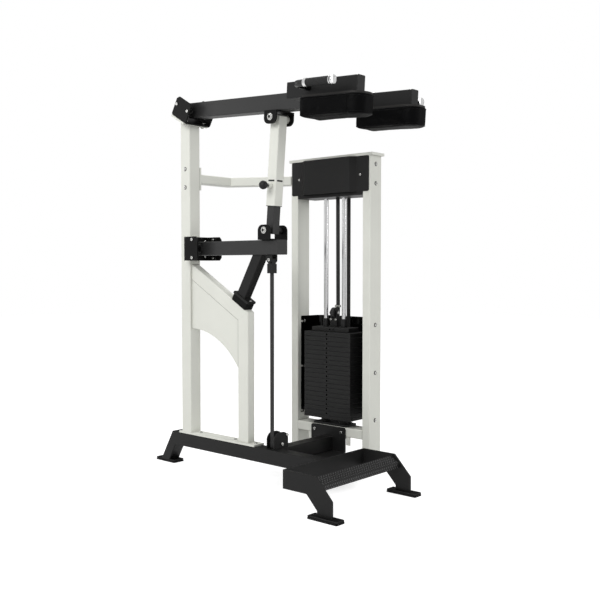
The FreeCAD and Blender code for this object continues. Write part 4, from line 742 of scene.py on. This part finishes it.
pad_mesh = stuffed_pad()
surface = BVHTree.FromPolygons([v.co for v in pad_mesh.vertices], [p.vertices[:] for p in pad_mesh.polygons])
seams = bmesh.new()
stitches = bmesh.new()
for outset, h, away in ((SEAM_OUT_LOW, PAD_LOW + SEAM_UP, STITCH_AWAY),
                        (SEAM_OUT_TOP, PAD_TOP - SEAM_DOWN, -STITCH_AWAY)):
    outline = pad_ring(-outset, nose=40)
    line = [upper(x, s, h) for x, s in outline]
    row = [upper(x, s, h + away) for x, s in outline]
    sweep(seams, on_surface(surface, line, PIPING_LIFT), PIPING_R, 8, True)
    places = even(on_surface(surface, row, STITCH_LIFT), STITCH_PITCH)
    for place, following in zip(places, places[1:]):
        gap = following - place
        stitch(stitches, place + gap * STITCH_START, place + gap * STITCH_END)
for x in (PAD_X - SIDE_SEAM_OUT, PAD_X + SIDE_SEAM_OUT):
    heights = [PAD_LOW + SIDE_SEAM_UP + i * (PAD_TOP - PAD_LOW - SIDE_SEAM_SHORT) / SIDE_SEAM_STEPS
               for i in range(SIDE_SEAM_STEPS + 1)]
    line = [upper(x, PAD_STRAIGHT, h) for h in heights]
    sweep(seams, on_surface(surface, line, SIDE_SEAM_LIFT), SIDE_SEAM_R, 8)
seam_mesh = to_mesh("seams", seams)
stitch_mesh = to_mesh("stitches", stitches)
for word in ("far", "near"):
    pad = put("shoulder_pad_" + word, on_side(pad_mesh, word), leather, "upper_lever")
    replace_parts(pad, "shoulder_pads")
    put("pad_piping_" + word, on_side(seam_mesh, word), leather, "upper_lever")
    put("pad_stitches_" + word, on_side(stitch_mesh, word), thread, "upper_lever")


# Link: the liner's tabs that show in the outer tube's faces, in millimetres

LINK_LOW = Vector((0.0, -5.0, 1302.5))
LINK_TILT = math.radians(4.606)
LINK_TAB = 250.4
LINK_HALF = 30.0
TAB_LONG = 42.0
TAB_WIDE = 8.0
TAB_POINTS = 24
# Growth of the outline and height over the tube of each ring, in metres
TAB_RINGS = ((0.0, -SUNK), (0.0, 0.0003), (-0.0008, 0.0006))


def on_link(x, y, z):
    """Point of the link at rest, drawn upright on its lower pin."""
    c, s = math.cos(LINK_TILT), math.sin(LINK_TILT)
    return at(x + LINK_LOW.x, LINK_LOW.y + y * c - z * s, LINK_LOW.z + y * s + z * c)


def tab(work, centre, along, across, out):
    """Low plate with round ends and a soft rim."""
    reach = (TAB_LONG - TAB_WIDE) / 2000
    rings = []
    for grow, lift in TAB_RINGS:
        r = TAB_WIDE / 2000 + grow
        points = []
        for i in range(TAB_POINTS):
            a = 2 * math.pi * (i + 0.5) / TAB_POINTS
            shift = reach if math.cos(a) > 0 else -reach
            place = centre + along * (shift + r * math.cos(a)) + across * (r * math.sin(a))
            points.append(place + out * lift)
        rings.append(points)
    loft(work, rings)


tabs = bmesh.new()
link_way = (on_link(0, 0, 1) - on_link(0, 0, 0)).normalized()
link_side = (on_link(0, 1, 0) - on_link(0, 0, 0)).normalized()
for turn in (-1, 1):
    tab(tabs, on_link(turn * LINK_HALF, 0, LINK_TAB), link_side, link_way, X_WAY * turn)
    tab(tabs, on_link(0, turn * LINK_HALF, LINK_TAB), X_WAY, link_way, link_side * turn)
piece("liner_tabs", tabs, plastic, "link_outer", 40)


# Washers: black under the white frame's bolts, bright round the link's pins; painted shade in pin sockets

# Places in millimetres
POST_FACE = -37.5
POST_BOLT_Y = 626.5
POST_BOLT_Z = (1556.5, 1657.5)
TOWER_FACE = -280.0
TOWER_BOLT_X = 505.0
TOWER_BOLT_Z = (296.0, 551.0, 808.0, 1560.0, 1662.0)
EAR_FACE = 66.0
SOCKET_FACE = 72.6
LINK_PINS = (("low", "lower_lever", -5.0, 1302.5), ("high", "upper_lever", -50.1, 1863.1))

# Inner radius, outer radius and thickness
BOLT_WASHER = (0.005, 0.0115, 0.0012)
LINK_WASHER = (0.010, 0.0178, 0.0026)
WASHER_SUNK = 0.0002
# Radius and height of the black hexagon that paints the shade inside a link pin's socket
SOCKET_SHADE_PROFILE = [(0.0085, 0.0), (0.0085, 0.0007), (0.0075, 0.0010), (0.003, 0.0006), (0.0, 0.0006)]


def washer(work, centre, way, inner, outer, thick):
    """Flat ring with a rounded rim, standing on a face."""
    profile = [(inner, -WASHER_SUNK), (outer, -WASHER_SUNK), (outer, thick * 0.6),
               (outer - thick * 0.4, thick), (inner, thick), (inner, thick * 0.5)]
    lathe(work, centre, way, profile, 36)


# Real washers, whose black also stands in for the shade round the bolt heads on the white frame
dark = bmesh.new()
for z in POST_BOLT_Z:
    washer(dark, at(POST_FACE, POST_BOLT_Y, z), -X_WAY, *BOLT_WASHER)
for z in TOWER_BOLT_Z:
    washer(dark, at(TOWER_BOLT_X, TOWER_FACE, z), -Y_WAY, *BOLT_WASHER)
piece("bolt_washers", dark, plastic, "frame", 40)
for word, body, y, z in LINK_PINS:
    bright = bmesh.new()
    for turn in (-1, 1):
        washer(bright, at(turn * EAR_FACE, y, z), X_WAY * turn, *LINK_WASHER)
    piece("link_washers_" + word, bright, bolt_steel, body, 40)
    # Painted shade: a thin black hexagon on each pin head stands for the dark inside of its socket
    socket_shades = bmesh.new()
    lathe(socket_shades, at(-SOCKET_FACE, y, z), -X_WAY, SOCKET_SHADE_PROFILE, 6)
    piece("link_socket_shades_" + word, socket_shades, plastic, body, 20)


# Feet: raised rims of the rubber shoes, in millimetres

RIM_R = 4.0
RIM_HIGH = 12.5
RIM_CORNER = 5.0
# Lowest and highest X, lowest and highest Y of each shoe
FEET = ((-330.0, -270.0, -696.3, -523.3), (270.0, 330.0, -696.3, -523.3), (-37.5, 37.5, 736.0, 898.0))

rims = bmesh.new()
for x_low, x_high, y_low, y_high in FEET:
    line = []
    inset = RIM_R + RIM_CORNER
    for x, y, start in ((x_high - inset, y_high - inset, 0), (x_low + inset, y_high - inset, 1),
                        (x_low + inset, y_low + inset, 2), (x_high - inset, y_low + inset, 3)):
        for i in range(5):
            a = math.pi / 2 * (start + i / 4)
            line.append(at(x + RIM_CORNER * math.cos(a), y + RIM_CORNER * math.sin(a), RIM_HIGH))
    sweep(rims, line, RIM_R / 1000, 10, True)
piece("foot_rims", rims, rim_rubber, "frame", 50)


# Tread pattern: raised lozenges on the sloping plate and its front lip

# Places and pitches in millimetres
TREAD_BACK = Vector((0, -539.4, 181.1))
TREAD_EDGE = Vector((0, -585.0, 151.5))
TREAD_LOW = Vector((0, -585.0, 125.0))
TREAD_REACH = 288.0
# Columns of lozenges to each side of the middle
TREAD_COLUMNS = 17
COLUMN_PITCH = 17.0
ROW_PITCH = 14.0
# Start and end of each face, and how far the rows stay from both
TREAD_FACES = ((TREAD_BACK, TREAD_EDGE, 8.0, 8.0), (TREAD_EDGE, TREAD_LOW, 9.0, 5.0))

LOZENGE_LONG = 0.0165
LOZENGE_WIDE = 0.0062
LOZENGE_HIGH = 0.0014


def lozenge(work, centre, out, along, across):
    """Low raised lozenge with a soft ridge."""
    end = along * LOZENGE_LONG / 2
    edge = across * LOZENGE_WIDE / 2
    foot = [centre + end, centre + edge, centre - end, centre - edge]
    shares = (0.72, 0.5, 0.72, 0.5)
    crown = [centre + (p - centre) * share + out * LOZENGE_HIGH for p, share in zip(foot, shares)]
    loft(work, [[p - out * SUNK for p in foot], crown])


treads = bmesh.new()
for start, end, first, last in TREAD_FACES:
    way = (end - start).normalized()
    out = X_WAY.cross(way)
    long = (end - start).length - first - last
    rows = max(1, round(long / ROW_PITCH))
    for row in range(rows + 1):
        odd = row % 2
        row_line = start + way * (first + long * row / rows)
        along = (X_WAY + way * (1 if odd else -1)).normalized()
        across = out.cross(along)
        for column in range(-TREAD_COLUMNS, TREAD_COLUMNS + 1):
            x = (column + odd / 2) * COLUMN_PITCH
            if abs(x) <= TREAD_REACH:
                lozenge(treads, at(x, row_line.y, row_line.z), out, along, across)
piece("tread_pattern", treads, tread_paint, "frame", 30)


# Floor, world and lights

FLOOR_HALF = 14.0
FLOOR_GREY = 0.6
MACHINE_MIDDLE = (0.0, 0.0, 1.2)
# Where the dark flag stands, seen from the machine, and how much of the gloss light it takes
FLAG_WAY = (0.745, 0.667, 0.0)
FLAG_SHARE = 0.85


def seen(t, straight, gloss):
    """A strength for what the camera sees straight and one for what shows in gloss, and none for lighting."""
    rays = t.add("ShaderNodeLightPath")
    first = t.math("MAXIMUM", rays.outputs["Is Camera Ray"], rays.outputs["Is Transmission Ray"])
    mirror = t.math("MULTIPLY", rays.outputs["Is Glossy Ray"], gloss)
    return t.math("ADD", t.math("MULTIPLY", first, straight), mirror)


def stage_floor():
    """Pale floor that takes the machine's shadow."""
    half = FLOOR_HALF
    work = bmesh.new()
    corners = ((-half, -half), (half, -half), (half, half), (-half, half))
    work.faces.new([work.verts.new((x, y, 0.0)) for x, y in corners])
    floor = add_object("floor", to_mesh("floor", work))
    made = bpy.data.materials.new("floor")
    t = Tree(made)
    out = t.add("ShaderNodeOutputMaterial")
    plain = t.add("ShaderNodeBsdfDiffuse")
    t.feed(plain.inputs["Color"], grey(FLOOR_GREY))
    glow = t.add("ShaderNodeEmission")
    t.link(seen(t, 0.72, 0.5), glow.inputs["Strength"])
    both = t.add("ShaderNodeAddShader")
    t.link(plain.outputs[0], both.inputs[0])
    t.link(glow.outputs[0], both.inputs[1])
    t.link(both.outputs[0], out.inputs["Surface"])
    floor.data.materials.append(made)


def studio_world():
    """White studio with a dark flag behind the machine, which draws the edges of rods and chrome."""
    world = bpy.data.worlds.new("studio")
    scene.world = world
    t = Tree(world)
    out = t.add("ShaderNodeOutputWorld")
    sky = t.add("ShaderNodeBackground")
    t.feed(sky.inputs["Color"], grey(1.0))
    side = t.add("ShaderNodeVectorMath", operation="DOT_PRODUCT")
    side.inputs[1].default_value = FLAG_WAY
    t.link(t.add("ShaderNodeTexCoord").outputs["Generated"], side.inputs[0])
    rays = t.add("ShaderNodeLightPath")
    flag = t.spread(side.outputs["Value"], 0.0, FLAG_SHARE, first=0.35, last=0.8)
    loss = t.math("MULTIPLY", flag, rays.outputs["Is Glossy Ray"])
    plain = t.math("ADD", seen(t, 0.48, 0.25), 0.52)
    t.link(t.math("MULTIPLY", plain, t.math("SUBTRACT", 1.0, loss)), sky.inputs["Strength"])
    t.link(sky.outputs[0], out.inputs["Surface"])


def lamp(name, place, target, size, power):
    """Round area lamp at a place, turned to a target."""
    data = bpy.data.lights.new(name, "AREA")
    data.shape = "DISK"
    data.size = size
    data.energy = power
    made = add_object(name, data)
    made.location = place
    made.rotation_euler = (Vector(target) - Vector(place)).to_track_quat("-Z", "Y").to_euler()


stage_floor()
studio_world()
lamp("key", (-5.0, -0.8, 3.8), MACHINE_MIDDLE, 3.0, 145.0)
lamp("fill", (1.8, -5.2, 2.4), MACHINE_MIDDLE, 2.6, 62.0)
lamp("rim", (-3.0, 4.8, 2.6), MACHINE_MIDDLE, 2.6, 25.0)
lamp("top", (0.5, 0.5, 5.2), (0.0, 0.0, 0.0), 3.0, 70.0)

scene.view_settings.view_transform = "Standard"
